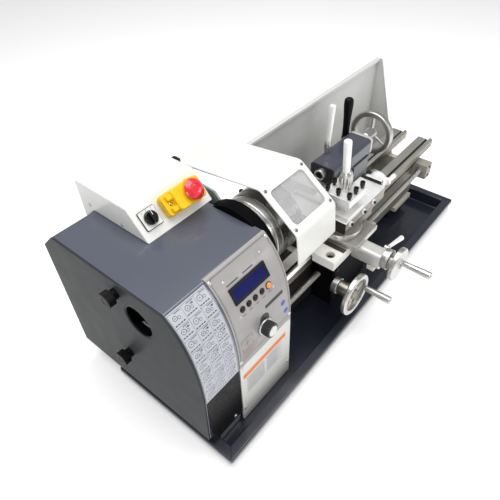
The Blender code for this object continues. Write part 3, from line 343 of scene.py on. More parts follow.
class Form:
    """A piece built up in millimetres from bevelled, turned and extruded shapes."""

    def __init__(self, origin=(0.0, 0.0, 0.0)):
        self.mesh = bmesh.new()
        self.origin = Vector(origin)

    def absorb(self, part, ink, place=None):
        if place is not None:
            part.transform(place)
        for face in part.faces:
            face.material_index = ink
        holder = bpy.data.meshes.new("holder")
        part.to_mesh(holder)
        part.free()
        self.mesh.from_mesh(holder)
        bpy.data.meshes.remove(holder)
        return self

    def bevel(self, part, width, segments=3, angle=30.0):
        edges = [e for e in part.edges if e.is_manifold and e.calc_face_angle() > math.radians(angle)]
        if width and edges:
            bmesh.ops.bevel(part, geom=edges, offset=width, segments=segments, profile=0.5, affect="EDGES",
                            clamp_overlap=True)

    def block(self, x, y, z, bevel=0.8, ink=0, place=None):
        part = bmesh.new()
        bmesh.ops.create_cube(part, size=1.0)
        size = Vector((x[1] - x[0], y[1] - y[0], z[1] - z[0]))
        bmesh.ops.scale(part, vec=size, verts=part.verts)
        bmesh.ops.translate(part, vec=Vector((middle(x), middle(y), middle(z))), verts=part.verts)
        self.bevel(part, bevel)
        return self.absorb(part, ink, place)

    def turned(self, profile, centre=(0.0, 0.0, 0.0), axis="X", ink=0, steps=ROUND, soft=0.6, place=None):
        """Spin (radius, distance along the axis) points about the axis through a centre."""
        part = bmesh.new()
        points = [part.verts.new((r, 0.0, h)) for r, h in (soften(profile, soft) if soft else profile)]
        edges = [part.edges.new(pair) for pair in zip(points, points[1:])]
        bmesh.ops.spin(part, geom=points + edges, axis=(0, 0, 1), cent=(0, 0, 0), angle=math.tau, steps=steps,
                       use_merge=True)
        bmesh.ops.remove_doubles(part, verts=part.verts, dist=0.0005)
        bmesh.ops.recalc_face_normals(part, faces=part.faces)
        part.transform(Matrix.Translation(centre) @ TURNS[axis])
        return self.absorb(part, ink, place)

    def rod(self, start, end, radius, end_radius=None, bevel=0.5, ink=0, steps=32, place=None):
        start, end = Vector(start), Vector(end)
        length = (end - start).length
        last = radius if end_radius is None else end_radius
        part = Form()
        part.turned([(0.0, length), (last, length), (radius, 0.0), (0.0, 0.0)], steps=steps, soft=bevel,
                    axis="Z")
        turn = Vector((0.0, 0.0, 1.0)).rotation_difference(end - start).to_matrix().to_4x4()
        return self.absorb(part.mesh, ink, (place or Matrix.Identity(4)) @ Matrix.Translation(start) @ turn)

    def prism(self, points, plane, low, high, bevel=0.8, ink=0, holes=(), place=None, segments=3):
        curve = bpy.data.curves.new("outline", "CURVE")
        curve.dimensions = "2D"
        curve.fill_mode = "BOTH"
        curve.extrude = (high - low) / 2
        for loop in (points, *holes):
            spline = curve.splines.new("POLY")
            spline.points.add(len(loop) - 1)
            for corner, (a, b) in zip(spline.points, loop):
                corner.co = (a, b, 0.0, 1.0)
            spline.use_cyclic_u = True
        guide = bpy.data.objects.new("outline", curve)
        bpy.context.scene.collection.objects.link(guide)
        bpy.context.view_layer.update()
        solid = bpy.data.meshes.new_from_object(guide.evaluated_get(bpy.context.evaluated_depsgraph_get()))
        bpy.data.objects.remove(guide)
        part = bmesh.new()
        part.from_mesh(solid)
        bmesh.ops.remove_doubles(part, verts=part.verts, dist=0.002)
        bmesh.ops.recalc_face_normals(part, faces=part.faces)
        bmesh.ops.dissolve_limit(part, angle_limit=math.radians(1.0), verts=part.verts, edges=part.edges)
        self.bevel(part, bevel, segments)
        half = (low + high) / 2
        lift = Matrix.Translation((0.0, 0.0, -half if plane == "XZ" else half))
        part.transform(PLANES[plane] @ lift)
        return self.absorb(part, ink, place)

    def copy_of(self, node):
        """The frame's own mesh of a node, cleaned of needless edges and given soft edges."""
        part = bmesh.new()
        part.from_mesh(frame["nodes"][node].data)
        part.transform(TO_WORLD.inverted())
        bmesh.ops.remove_doubles(part, verts=part.verts, dist=0.01)
        bmesh.ops.dissolve_limit(part, angle_limit=math.radians(2.0), verts=part.verts, edges=part.edges)
        return self.absorb(part, 0)

    def socket_screw(self, place, radius=3.2, height=3.0, ink=0):
        """A socket head screw standing along local Z."""
        profile = [(0.0, height * 0.45), (radius * 0.5, height * 0.45), (radius * 0.55, height),
                   (radius, height), (radius, 0.0), (0.0, 0.0)]
        return self.turned(profile, axis="Z", ink=ink, steps=24, soft=0.4, place=place)

    def dome_screw(self, place, radius=3.2, height=1.8, ink=0):
        """A low domed screw with a small cross recess, along local Z."""
        profile = [(0.0, height), (radius * 0.45, height * 0.92), (radius * 0.85, height * 0.5),
                   (radius, 0.0), (0.0, -0.2)]
        self.turned(profile, axis="Z", ink=ink, steps=24, soft=0.3, place=place)
        for turn in (0.0, math.pi / 2):
            slot = place @ Matrix.Rotation(turn, 4, "Z")
            self.block((-radius * 0.5, radius * 0.5), (-0.3, 0.3), (height - 0.2, height + 0.06),
                       0.0, ink, slot)
        return self

    def piece(self, name, body, materials, replaces=(), slot=None, sharp=38.0, bevel=None):
        """Make the object, give it its materials and let it ride on its body."""
        self.mesh.transform(Matrix.Translation(-self.origin))
        self.mesh.transform(Matrix.Scale(MM, 4))
        data = bpy.data.meshes.new(name)
        self.mesh.to_mesh(data)
        self.mesh.free()
        made = bpy.data.objects.new(name, data)
        made.location = TO_WORLD @ self.origin
        bpy.context.scene.collection.objects.link(made)
        for material in materials if isinstance(materials, (list, tuple)) else (materials,):
            data.materials.append(material)
        data.shade_smooth()
        data.set_sharp_from_angle(angle=math.radians(sharp))
        if bevel:
            edge = made.modifiers.new("Edges", "BEVEL")
            edge.width = bevel * MM
            edge.segments = 3
            edge.limit_method = "ANGLE"
            edge.angle_limit = math.radians(35.0)
        normals = made.modifiers.new("Normals", "WEIGHTED_NORMAL")
        normals.keep_sharp = True
        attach(made, body)
        replaces = (replaces,) if isinstance(replaces, str) else replaces
        if replaces:
            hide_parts(*replaces)


def bezier(corners, t):
    weights = ((1 - t) ** 3, 3 * t * (1 - t) ** 2, 3 * t * t * (1 - t), t ** 3)
    return tuple(sum(w * c[k] for w, c in zip(weights, corners)) for k in (0, 1))


def front_line(steps=48):
    return [bezier(FRONT_CURVE, i / steps) for i in range(steps + 1)]


def front_at(drop):
    """The point and outward normal on the headstock front, a distance down from its top edge."""
    points = front_line(200) + [FRONT_FOOT]
    travelled = 0.0
    for first, second in zip(points, points[1:]):
        step = math.dist(first, second)
        if travelled + step >= drop:
            break
        travelled += step
    down = Vector((second[0] - first[0], second[1] - first[1])) / step
    spot = Vector(first) + down * (drop - travelled)
    return spot, Vector((down.y, -down.x))


def on_front(x, drop, lift=0.0):
    spot, normal = front_at(drop)
    return Vector((x, spot.x + normal.x * lift, spot.y + normal.y * lift))


def front_frame(x, drop, lift=0.0):
    """A frame on the front face: local Z points outwards and local Y points up the face."""
    normal = front_at(drop)[1]
    out = Vector((0.0, normal.x, normal.y))
    along = Vector((1.0, 0.0, 0.0))
    up = out.cross(along)
    turn = Matrix((along, up, out)).transposed().to_4x4()
    return Matrix.Translation(on_front(x, drop, lift)) @ turn


def fluted(radius, depth, count, steps=6):
    """A round outline with scooped flutes."""
    points = []
    for i in range(count * steps):
        turn = math.tau * i / (count * steps)
        r = radius - depth * (0.5 + 0.5 * math.cos(count * turn)) ** 2
        points.append((r * math.cos(turn), r * math.sin(turn)))
    return points


def carved(form, tools):
    """Cut closed shapes out of a form, exactly."""
    made = []
    for shape in (form, *tools):
        data = bpy.data.meshes.new("blank")
        shape.mesh.to_mesh(data)
        shape.mesh.free()
        made.append(bpy.data.objects.new("blank", data))
        bpy.context.scene.collection.objects.link(made[-1])
    for tool in made[1:]:
        step = made[0].modifiers.new("Cut", "BOOLEAN")
        step.operation = "DIFFERENCE"
        step.solver = "EXACT"
        step.object = tool
    bpy.context.view_layer.update()
    result = bpy.data.meshes.new_from_object(made[0].evaluated_get(bpy.context.evaluated_depsgraph_get()))
    form.mesh = bmesh.new()
    form.mesh.from_mesh(result)
    for item in made:
        bpy.data.objects.remove(item)
    return form


def tint(form, rule):
    """Give faces the material number that a rule picks from their normal and middle."""
    form.mesh.normal_update()
    for face in form.mesh.faces:
        face.material_index = rule(face.normal, face.calc_center_median(), face.material_index)


def refined(node, material, bevel):
    """The frame's own mesh of a node, with soft edges and a procedural material."""
    Form().copy_of(node).piece(node + "_look", body_of(node), material, node, bevel=bevel)


def patch(form, x, drop, ink=0, lift=0.12, steps=None):
    """A printed rectangle that follows the headstock's front face."""
    count = steps or max(1, int((drop[1] - drop[0]) / 3))
    part = bmesh.new()
    rows = []
    for i in range(count + 1):
        s = drop[0] + (drop[1] - drop[0]) * i / count
        rows.append([part.verts.new(on_front(px, s, lift)) for px in x])
    for upper, lower in zip(rows, rows[1:]):
        part.faces.new((upper[0], lower[0], lower[1], upper[1]))
    form.absorb(part, ink)


def printed(form, points, ink=0):
    """A small printed polygon on the headstock's front face, from (x, drop) points."""
    part = bmesh.new()
    part.faces.new([part.verts.new(on_front(x, s, PRINT_LIFT)) for x, s in reversed(points)])
    form.absorb(part, ink)


def printed_line(form, first, second, width=0.6):
    a, b = Vector(first), Vector(second)
    along = b - a
    side = Vector((-along.y, along.x)).normalized() * width / 2
    printed(form, [tuple(p) for p in (a + side, a - side, b - side, b + side)])


def printed_ring(form, centre, outer, inner, ink=0, steps=20):
    part = bmesh.new()
    loops = []
    for radius in (outer, inner):
        loops.append([part.verts.new(on_front(x, s, PRINT_LIFT)) for x, s in disc_points(centre, radius,
                                                                                         steps)])
    for i in range(steps):
        j = (i + 1) % steps
        part.faces.new((loops[0][i], loops[1][i], loops[1][j], loops[0][j]))
    bmesh.ops.recalc_face_normals(part, faces=part.faces)
    form.absorb(part, ink)


def disc_points(centre, radius, steps=16):
    return arc(centre, radius, 0, 360, steps)[:-1]


def hexagon(radius):
    return disc_points((0.0, 0.0), radius, 6)


def oblong(a, b):
    """The corners of a plain rectangle from its two ranges."""
    return [(a[0], b[1]), (a[0], b[0]), (a[1], b[0]), (a[1], b[1])]


def facing(axis, x, y, z):
    """A frame at a point, with its local Z along an axis."""
    return Matrix.Translation((x, y, z)) @ TURNS[axis]


# ---------------------------------------------------------------- tray, splash guard and bed

def loft(form, outlines):
    """Skin closed outlines that have equally many points, and cap both ends."""
    part = bmesh.new()
    loops = [[part.verts.new(point) for point in outline] for outline in outlines]
    count = len(loops[0])
    for lower, upper in zip(loops, loops[1:]):
        for i in range(count):
            j = (i + 1) % count
            part.faces.new((lower[i], lower[j], upper[j], upper[i]))
    part.faces.new(loops[0])
    part.faces.new(loops[-1])
    bmesh.ops.recalc_face_normals(part, faces=part.faces)
    form.absorb(part, 0)


def rectangle_sweep(form, x, y, profile, radius):
    """Run a profile of (distance in from the edge, height) points round a rectangle."""
    outlines = []
    for inward, height in profile:
        loop = rounded_rectangle((x[0] + inward, x[1] - inward), (y[0] + inward, y[1] - inward),
                                 max(radius - inward, 0.8), 5)
        outlines.append([(a, b, height) for a, b in loop])
    loft(form, outlines)


def chip_tray():
    x, y, z = reach("chip_tray")
    top, sheet, width = z[1], 2.0, 20.0
    lip = top - 10.0
    roll = arc((3.2, top - 3.2), 3.2, 180, 90, 6)
    inner = arc((width - 2.5, top - 2.5), 2.5, 90, 0, 5)
    cove = [(width + 2.5 - 2.5 * math.cos(a), 4.5 - 2.5 * math.sin(a)) for a in (0.0, 0.4, 0.8, 1.2, 1.57)]
    outside = [(width - sheet, 0.0), (width - sheet, top - sheet), (sheet, top - sheet), (sheet, lip),
               (0.0, lip)]
    form = Form()
    rectangle_sweep(form, x, y, outside + roll + inner + cove, 5.0)
    form.piece("tray_pan", "lathe_bed", TRAY_SLATE, "chip_tray")
    seams = Form()
    for px, sx in ((x[0], 1), (x[1], -1)):
        for py, sy in ((y[0], 1), (y[1], -1)):
            start = Vector((px + sx * 1.6, py + sy * 1.6, top + 0.03))
            end = Vector((px + sx * width, py + sy * width, top + 0.03))
            seams.rod(start, end, 0.35, bevel=0.0, steps=6)
    seams.piece("tray_corner_seams", "lathe_bed", BLACK, slot="black_casting")


def splash_guard():
    x, y, z = reach("splash_guard")
    sheet = 2.0
    back = y[1]
    front = back - sheet
    hem = front - 8
    section = [(back, z[0]), (front, z[0]), (front, z[1] - sheet), (hem + 1.5, z[1] - sheet),
               (hem + 1.5, z[1] - 6), (hem, z[1] - 6), (hem, z[1]), (back, z[1])]
    form = Form()
    form.prism(section, "YZ", x[0], x[1] - 0.5, 0.6)
    wing = [(back - 0.5, z[0]), (14.0, z[0]), (14.0, 40.0), (98.0, z[1] - 0.5), (back - 0.5, z[1] - 0.5)]
    form.prism(wing, "YZ", x[1] - sheet, x[1], 0.6)
    form.rod((x[1] - sheet - 1.2, 14.5, 40.0), (x[1] - sheet - 1.2, 98.0, z[1] - 1.0), 1.2, steps=12)
    form.rod((x[0] + 1.2, front - 0.8, z[0]), (x[0] + 1.2, front - 0.8, z[1] - 2), 1.2, steps=12)
    form.piece("splash_sheet", "lathe_bed", SHEET_WHITE, "splash_guard")
    screws = Form()
    for px in (x[0] + 40, middle(x), x[1] - 40):
        face = facing("-Y", px, front, z[0] + 14)
        screws.dome_screw(face, 4.0, 2.0)
    screws.piece("splash_screws", "lathe_bed", POLISHED, slot="oiled_steel")


def rear_louvres():
    """Cooling louvres and fixing screws on the back of the cover, nuts on the back of the splash guard."""
    back = reach("headstock_cover")[1][1]
    vents = Form()
    for row in range(8):
        low = 96.0 + row * 12.0
        section = [(back - 0.6, low + 6.4), (back - 0.6, low), (back + 2.2, low), (back + 2.2, low + 1.6)]
        vents.prism(section, "YZ", 46.0, 158.0, 0.35)
        # Black strips in the louvre openings stand in for the dark inside of the cover: painted shade.
        vents.block((47.0, 157.0), (back - 0.6, back + 0.2), (low - 2.0, low + 0.2), 0.0, 1)
    vents.piece("cover_rear_louvres", "lathe_bed", (SLATE, DEEP_BLACK), slot="slate_paint")
    screws = Form()
    for px in (17.0, 192.0):
        for pz in (60.0, 170.0, 278.0):
            screws.dome_screw(facing("Y", px, back, pz), 3.8, 2.0)
    x, y, z = reach("splash_guard")
    for px in (x[0] + 40, middle(x), x[1] - 40):
        nut = hexagon(4.8)
        screws.prism(nut, "XY", 0.0, 3.0, 0.3, place=facing("Y", px, y[1], z[0] + 14))
    screws.piece("rear_fixings", "lathe_bed", POLISHED, slot="oiled_steel")


def bed():
    # The risers get painted shade for the dark under the bed's foot flanges.
    for name in ("riser_left", "riser_right"):
        refined(name, PAINTED_SHADE, 1.5)
    x, _, z = reach("bed")
    way = z[1] - 14.0

    form = Form().copy_of("bed")
    foot, front_web, groove = 52.5, -43.0, 163.5

    # Upward rail faces are ground steel and the rail sides a darker steel; the rail groove and the web's
    # front faces under the rails get painted shade.
    def rail_or_shaded_web(normal, centre, ink):
        if abs(centre.z - groove) < 0.3:
            return 3
        if centre.z > way and normal.z > 0.3:
            return 1
        if centre.z > way - 6.5:
            return 2
        return 3 if centre.z > foot and centre.y < front_web else 0

    tint(form, rail_or_shaded_web)
    form.piece("bed_casting", "lathe_bed", (CREAM, STEEL_X, RAIL_SIDE, PAINTED_SHADE), "bed", bevel=0.9)
    # A lighter brown sheet on the right part of the front web, where it lies out of the rails' shade: painted
    # light beside the painted shade further left.
    form = Form()
    form.block((478.0, 799.6), (-56.5, -55.8), (50.4, 149.7), 0.0)
    form.piece("bed_front_web", "lathe_bed", LIT_WEB_BROWN, slot="cream_paint")
    # A flat black oblong on the web in place of a slot: its darkness is painted shade.
    trim = Form()
    web = -56.0
    slot = rounded_rectangle((272.0, 314.0), (86.0, 108.0), 10.8)
    trim.prism(slot, "XZ", web - 0.4, web + 1.0, 0.2)
    trim.piece("bed_front_slot", "lathe_bed", BLACK_OXIDE, slot="black_casting")
    rack = Form()
    for i in range(int((x[1] - 70 - 240) / 4.7)):
        rack.block((240 + i * 4.7, 242.6 + i * 4.7), (-60.5, -56.0), (138.0, 146.0), 0.3)
    rack.block((238.0, x[1] - 66), (-58.5, -55.8), (136.0, 147.5), 0.5)
    rack.piece("bed_rack", "lathe_bed", OILED, slot="ground_steel")


# ---------------------------------------------------------------- headstock

def cover_outline(shift=0.0, inset=0.0, bottom=46.0, steps=40):
    line = [(y + shift + inset, z - inset * 0.75) for y, z in front_line(steps)]
    back = reach("headstock_cover")[1][1] - inset
    return line + [(-107.5 + shift + inset, bottom), (back, bottom), (back, 291.5), (182.0, 323.3 - inset)]


def headstock_cover():
    x = reach("headstock_cover")[0]
    step = reach("control_panel")[0][0] - 0.3
    form = Form()
    form.prism(cover_outline(), "YZ", x[0], step, 1.4, holes=(cover_outline(inset=3.0, bottom=49.0),))
    form.prism(cover_outline(4.3), "YZ", step - 2, x[1], 1.4)
    form.block((24.0, 76.5), (-107.0, -101.0), (4.0, 60.0), 1.0)
    form.piece("cover_shell", "lathe_bed", SLATE, "headstock_cover", sharp=30)
    end = Form()
    bore = disc_points((0.0, SPINDLE_Z), 29.0, 72)
    end.prism(cover_outline(), "YZ", 0.0, x[0] - 0.5, 1.1, holes=(bore,))
    end.piece("cover_end_plate", "lathe_bed", END_SLATE, "end_cover", sharp=30)
    liner = Form()
    liner.turned([(28.9, 0.6), (28.9, 13.0), (27.0, 13.0), (26.0, 1.6), (27.4, 0.4), (28.9, 0.6)],
                 AXIS, "X")
    liner.piece("spindle_hole_liner", "lathe_bed", DEEP_BLACK, slot="black_plastic")


def cover_knob(node):
    _, y, z = reach(node)
    centre = (0.0, middle(y), middle(z))
    place = Matrix.Translation(centre) @ TURNS["-X"]
    form = Form(centre)
    form.prism(fluted(12.5, 0.7, 28, 5), "XY", 8.0, 19.6, 0.3, place=place, segments=2)
    form.turned([(0.0, 16.0), (5.0, 16.0), (5.4, 20.0), (10.2, 20.0), (11.4, 19.0), (11.4, 8.4), (8.4, 6.5),
                 (8.4, 0.4), (0.0, 0.4)], centre, "-X")
    form.prism(hexagon(4.0), "XY",
               15.8, 16.6, 0.1, 1, place=place)
    form.piece(node + "_knurled", body_of(node), (DEEP_BLACK, BLACK_OXIDE), node)


def gear_chart():
    """The lead and feed chart: rows of gear-train sketches and arrows, with no lettering."""
    x = (reach("headstock_cover")[0][0] + 1.5, 74.0)
    end = 176.0
    form = Form()
    patch(form, x, (3.0, end), 0, 0.10)
    columns = [x[0] + (x[1] - x[0]) * share for share in (0.34, 0.67)]
    for px in (x[0] + 1.0, *columns, x[1] - 1.0):
        patch(form, (px - 0.2, px + 0.2), (5.0, end - 2), 1, 0.13)
    rows = 8
    pitch = (end - 8.0) / rows
    for row in range(rows + 1):
        s = 5.0 + row * pitch
        patch(form, (x[0] + 1, x[1] - 1), (s, s + 0.45), 1, 0.13, 1)
    for row in range(rows):
        top = 5.0 + row * pitch
        for column in range(3):
            left = x[0] + 1 + column * (x[1] - x[0] - 2) / 3
            centre = (left + 7.5, top + pitch * 0.40)
            big = 3.6 + (row + column) % 3 * 0.5
            printed_ring(form, centre, big, big - 0.7, 1)
            printed_ring(form, (centre[0] + big + 2.4, centre[1] + 2.0), 2.4, 1.8, 1)
            printed(form, disc_points(centre, 0.9, 8), 1)
            bar = top + pitch * (0.74 if (row + column) % 2 else 0.80)
            for i in range(4):
                patch(form, (left + 2 + i * 4.6, left + 5.2 + i * 4.6), (bar, bar + 1.7), 1, 0.13, 1)
            for i in range(5):
                patch(form, (left + 10 + i * 2.2, left + 11.2 + i * 2.2), (top + 1.4, top + 3.4), 1, 0.13, 1)
            if (row + column) % 2:
                tip = (left + 19.5, top + pitch * 0.28)
                printed(form, [tip, (tip[0] - 3.4, tip[1] - 1.7), (tip[0] - 3.4, tip[1] + 1.7)], 1)
                patch(form, (tip[0] - 6.2, tip[0] - 3.3), (tip[1] - 0.5, tip[1] + 0.5), 1, 0.13, 1)
    form.piece("gear_chart", "lathe_bed", (LABEL, INK, INK_GREY), slot="white_paint")
    # A black strip below the chart: the dark lower cover, darkened further with painted shade.
    strip = Form()
    patch(strip, (x[0], x[1] + 1.5), (end + 2, 300.0), 0, 0.10)
    strip.piece("chart_lower_strip", "lathe_bed", DEEP_BLACK, slot="black_plastic")
    screw = Form()
    screw.dome_screw(front_frame(58.0, 298.0 - 8, 0.1), 3.0, 1.6)
    screw.turned([(5.2, 0.0), (5.2, 0.7), (4.2, 1.0), (3.8, 0.1)], axis="Z", place=front_frame(58.0, 290.0,
                                                                                               0.0),
                 ink=1)
    screw.piece("cover_screw", "lathe_bed", (POLISHED, SATIN_BLACK), slot="oiled_steel")


def control_panel():
    x, _, z = reach("control_panel")
    skirt, split, sheet = FRONT_CURVE[-1][0], 160.0, 4.0
    outside = [*front_line(40), (skirt, split)]
    inside = [(py + sheet, pz) for py, pz in reversed(outside)]
    form = Form()
    form.prism(outside + inside, "YZ", x[0], x[1], 0.5)
    form.prism(oblong((skirt, skirt + sheet), (z[0], split - 0.8)), "YZ", x[0], x[1], 0.5, 1)
    form.prism(oblong((skirt + 1, skirt + 3), (split - 2, split + 1)), "YZ", x[0] + 0.5, x[1] - 0.5, 0.0, 2)
    form.piece("panel_plate", "lathe_bed", (BRUSHED_PANEL, LOWER_PANEL, SATIN_BLACK),
               "control_panel", sharp=30)


def panel_prints():
    x = reach("control_panel")[0]
    form = Form()
    for inset, width in ((3.2, 0.5), (4.6, 0.3)):
        left, right, top, low = x[0] + inset, x[1] - inset, inset, 168.0 - inset
        patch(form, (left, left + width), (top, low))
        patch(form, (right - width, right), (top, low))
        patch(form, (left, right), (top, top + width), steps=1)
        patch(form, (left, right), (low - width, low), steps=1)
    patch(form, (148.6, 191.0), (98.0, 104.5), 0)
    for i in range(5):
        px = 107.6 + i * 14.6
        patch(form, (px - 3.2, px + 3.2), (81.5, 82.5), 0, steps=1)
    knob = (140.0, KNOB_DROP)
    for degrees in range(-140, 141, 20):
        turn = math.radians(degrees)
        way = Vector((math.sin(turn), -math.cos(turn)))
        start = Vector(knob) + way * 15.5
        end = Vector(knob) + way * (19.0 if degrees % 40 == 0 else 17.4)
        printed_line(form, start, end)
    for a, b in (((88.0, 122.0), (112.0, 122.0)), ((88.0, 122.0), (88.0, 144.0)), ((88.0, 144.0),
                                                                                   (112.0, 144.0)),
                 ((112.0, 122.0), (112.0, 144.0)), ((92.0, 133.0), (108.0, 133.0)), ((100.0, 126.0),
                                                                                     (100.0, 140.0))):
        printed_line(form, a, b)
    printed(form, disc_points((142.5, 120.5), 11.0), 0)
    for centre in ((188.0, 124.7), (193.6, 146.5)):
        printed(form, disc_points(centre, 5.4), 1)
    for a, b in (((100.0, 26.0), (124.0, 26.0)), ((134.0, 26.0), (156.0, 26.0))):
        patch(form, (a[0], b[0]), (a[1], a[1] + 1.6), 0, steps=1)
    for row in range(4):
        drop = 148.0 + row * 3.4
        patch(form, (86.0, 122.0 - row % 2 * 7), (drop, drop + 0.9), 2, steps=1)
    form.piece("panel_prints", "lathe_bed", (INK, INK_BLUE, INK_BROWN), slot="panel_silver")
    band = Form()
    patch(band, (84.0, 193.0), (203.0, 214.0), 0)
    for row in range(13):
        drop = 219.0 + row * 3.4
        for left, width in ((90.0, 46.0), (140.0, 44.0 - row % 3 * 7)):
            patch(band, (left + row % 3 * 1.5, left + width), (drop, drop + 1.4), 1, steps=1)
    band.piece("lower_panel_prints", "lathe_bed", (INK_ORANGE, INK_GREY), slot="cream_paint")


def panel_screws():
    form = Form()
    x = reach("control_panel")[0]
    for px, s in ((x[0] + 4, 7.0), (x[1] - 4, 7.0), (x[0] + 3.4, 163.0), (x[1] - 4, 163.0)):
        form.dome_screw(front_frame(px, s, 0.0), 3.6, 2.0)
    for px, s in ((99.6, 18.6), (177.6, 18.9), (99.9, 80.0), (174.8, 80.0)):
        form.dome_screw(front_frame(px, s, 0.0), 2.1, 1.0)
    for px, s in ((x[0] + 5, 180.0), (x[1] - 5, 180.0), (x[0] + 5, 300.0), (x[1] - 5, 300.0)):
        form.dome_screw(front_frame(px, s, 0.0), 3.6, 2.0)
    form.piece("panel_screws", "lathe_bed", POLISHED, slot="oiled_steel")


def display():
    x = reach("lcd_display")[0]
    drops = (32.6, 58.8)
    place = front_frame(middle(x), sum(drops) / 2, 0.0)
    half_x, half_y = (x[1] - x[0]) / 2 + 1.0, (drops[1] - drops[0]) / 2 + 0.7
    outer = rounded_rectangle((-half_x, half_x), (-half_y, half_y), 1.5)
    inner = rounded_rectangle((-half_x + 4.5, half_x - 4.5), (-half_y + 4.0, half_y - 4.0), 1.0)
    form = Form()
    form.prism(outer, "XY", -1.6, 1.0, 0.4, holes=(inner,), place=place)
    form.prism(inner, "XY", -1.6, 0.35, 0.05, 1, place=place)
    form.piece("display_unit", "lathe_bed", (GLOSS_BLACK, SCREEN), "lcd_display")


def panel_buttons():
    small = [(0.0, 3.6), (2.2, 3.3), (3.6, 2.2), (4.2, 0.6), (4.2, -1.9), (0.0, -1.9)]
    large = [(0.0, 3.6), (3.0, 3.3), (4.6, 2.0), (5.0, 0.5), (5.0, -1.9), (0.0, -1.9)]
    buttons = [(f"speed_button_{number}", small, 5.2, GLOSS_BLACK) for number in range(1, 5)]
    rings = Form()
    for node, profile, r, material in (*buttons, ("power_button", large, 6.2, ORANGE)):
        x = middle(reach(node)[0])
        place = front_frame(x, BUTTON_DROP)
        form = Form(on_front(x, BUTTON_DROP))
        form.turned(profile, axis="Z", place=place, steps=40)
        form.piece(node + "_cap", body_of(node), material, node)
        rings.turned([(r, 0.0), (r, 0.8), (r - 0.7, 0.9), (r - 0.8, 0.0)], axis="Z", place=place, steps=40,
                     soft=0.2)
    rings.piece("button_rings", "lathe_bed", SATIN_BLACK, slot="black_plastic")


def speed_knob():
    x = middle(reach("speed_knob")[0])
    place = front_frame(x, KNOB_DROP)
    form = Form(on_front(x, KNOB_DROP))
    form.turned([(0.0, 4.0), (14.0, 3.6), (14.6, 2.6), (14.6, 0.4), (0.0, 0.4)], axis="Z", ink=1, place=place)
    form.prism(fluted(12.6, 0.9, 18), "XY", 3.0, 16.8, 0.4, place=place, segments=2)
    form.turned([(0.0, 17.6), (10.4, 17.6), (11.7, 16.9), (11.9, 15.9), (0.0, 15.5)], axis="Z", place=place)
    form.turned([(0.0, 18.6), (8.4, 18.5), (9.3, 17.9), (9.3, 17.0),
                 (0.0, 17.0)], axis="Z", ink=1, place=place)
    form.block((-0.5, 0.5), (2.5, 10.2), (17.0, 18.9), 0.2, 2, place)
    form.piece("speed_knob_fluted", "speed_knob", (SATIN_BLACK, POLISHED, PLATE_WHITE), "speed_knob")


def headstock_casting():
    x = reach("headstock_casting")[0]
    form = Form().copy_of("headstock_casting")
    form.piece("headstock_body", "lathe_bed", BLACK, "headstock_casting", bevel=1.2)
    rim = Form()
    rim.turned([(72.0, x[1] - 16), (72.0, x[1] - 3), (69.5, x[1] - 0.2), (60.0, x[1] - 0.1),
                (60.0, x[1] - 3)],
               AXIS, "X", soft=1.2)
    for i in range(6):
        turn = math.tau * (i + 0.4) / 6
        rim.socket_screw(Matrix.Translation((x[1] - 2.4, 65 * math.cos(turn),
                                             SPINDLE_Z + 65 * math.sin(turn)))
                         @ TURNS["X"], 3.4, 2.2, 1)
    rim.piece("headstock_boss_rim", "lathe_bed", (BLACK, BLACK_OXIDE), slot="black_casting")
    for node in ("spindle_bearing_rear", "spindle_bearing_front"):
        bx, by = reach(node)[:2]
        ring = Form()
        outer, inner = (by[1] - by[0]) / 2, 24.4
        ring.turned([(outer, bx[0]), (outer, bx[1]), (outer - 4, bx[1]), (outer - 4.4, bx[1] - 1),
                     (inner + 3.4, bx[1] - 1), (inner + 3, bx[1]), (inner, bx[1]), (inner, bx[0]),
                     (outer, bx[0])], AXIS, "X",
                    soft=0.4)
        ring.piece(node + "_rings", "lathe_bed", POLISHED, node)


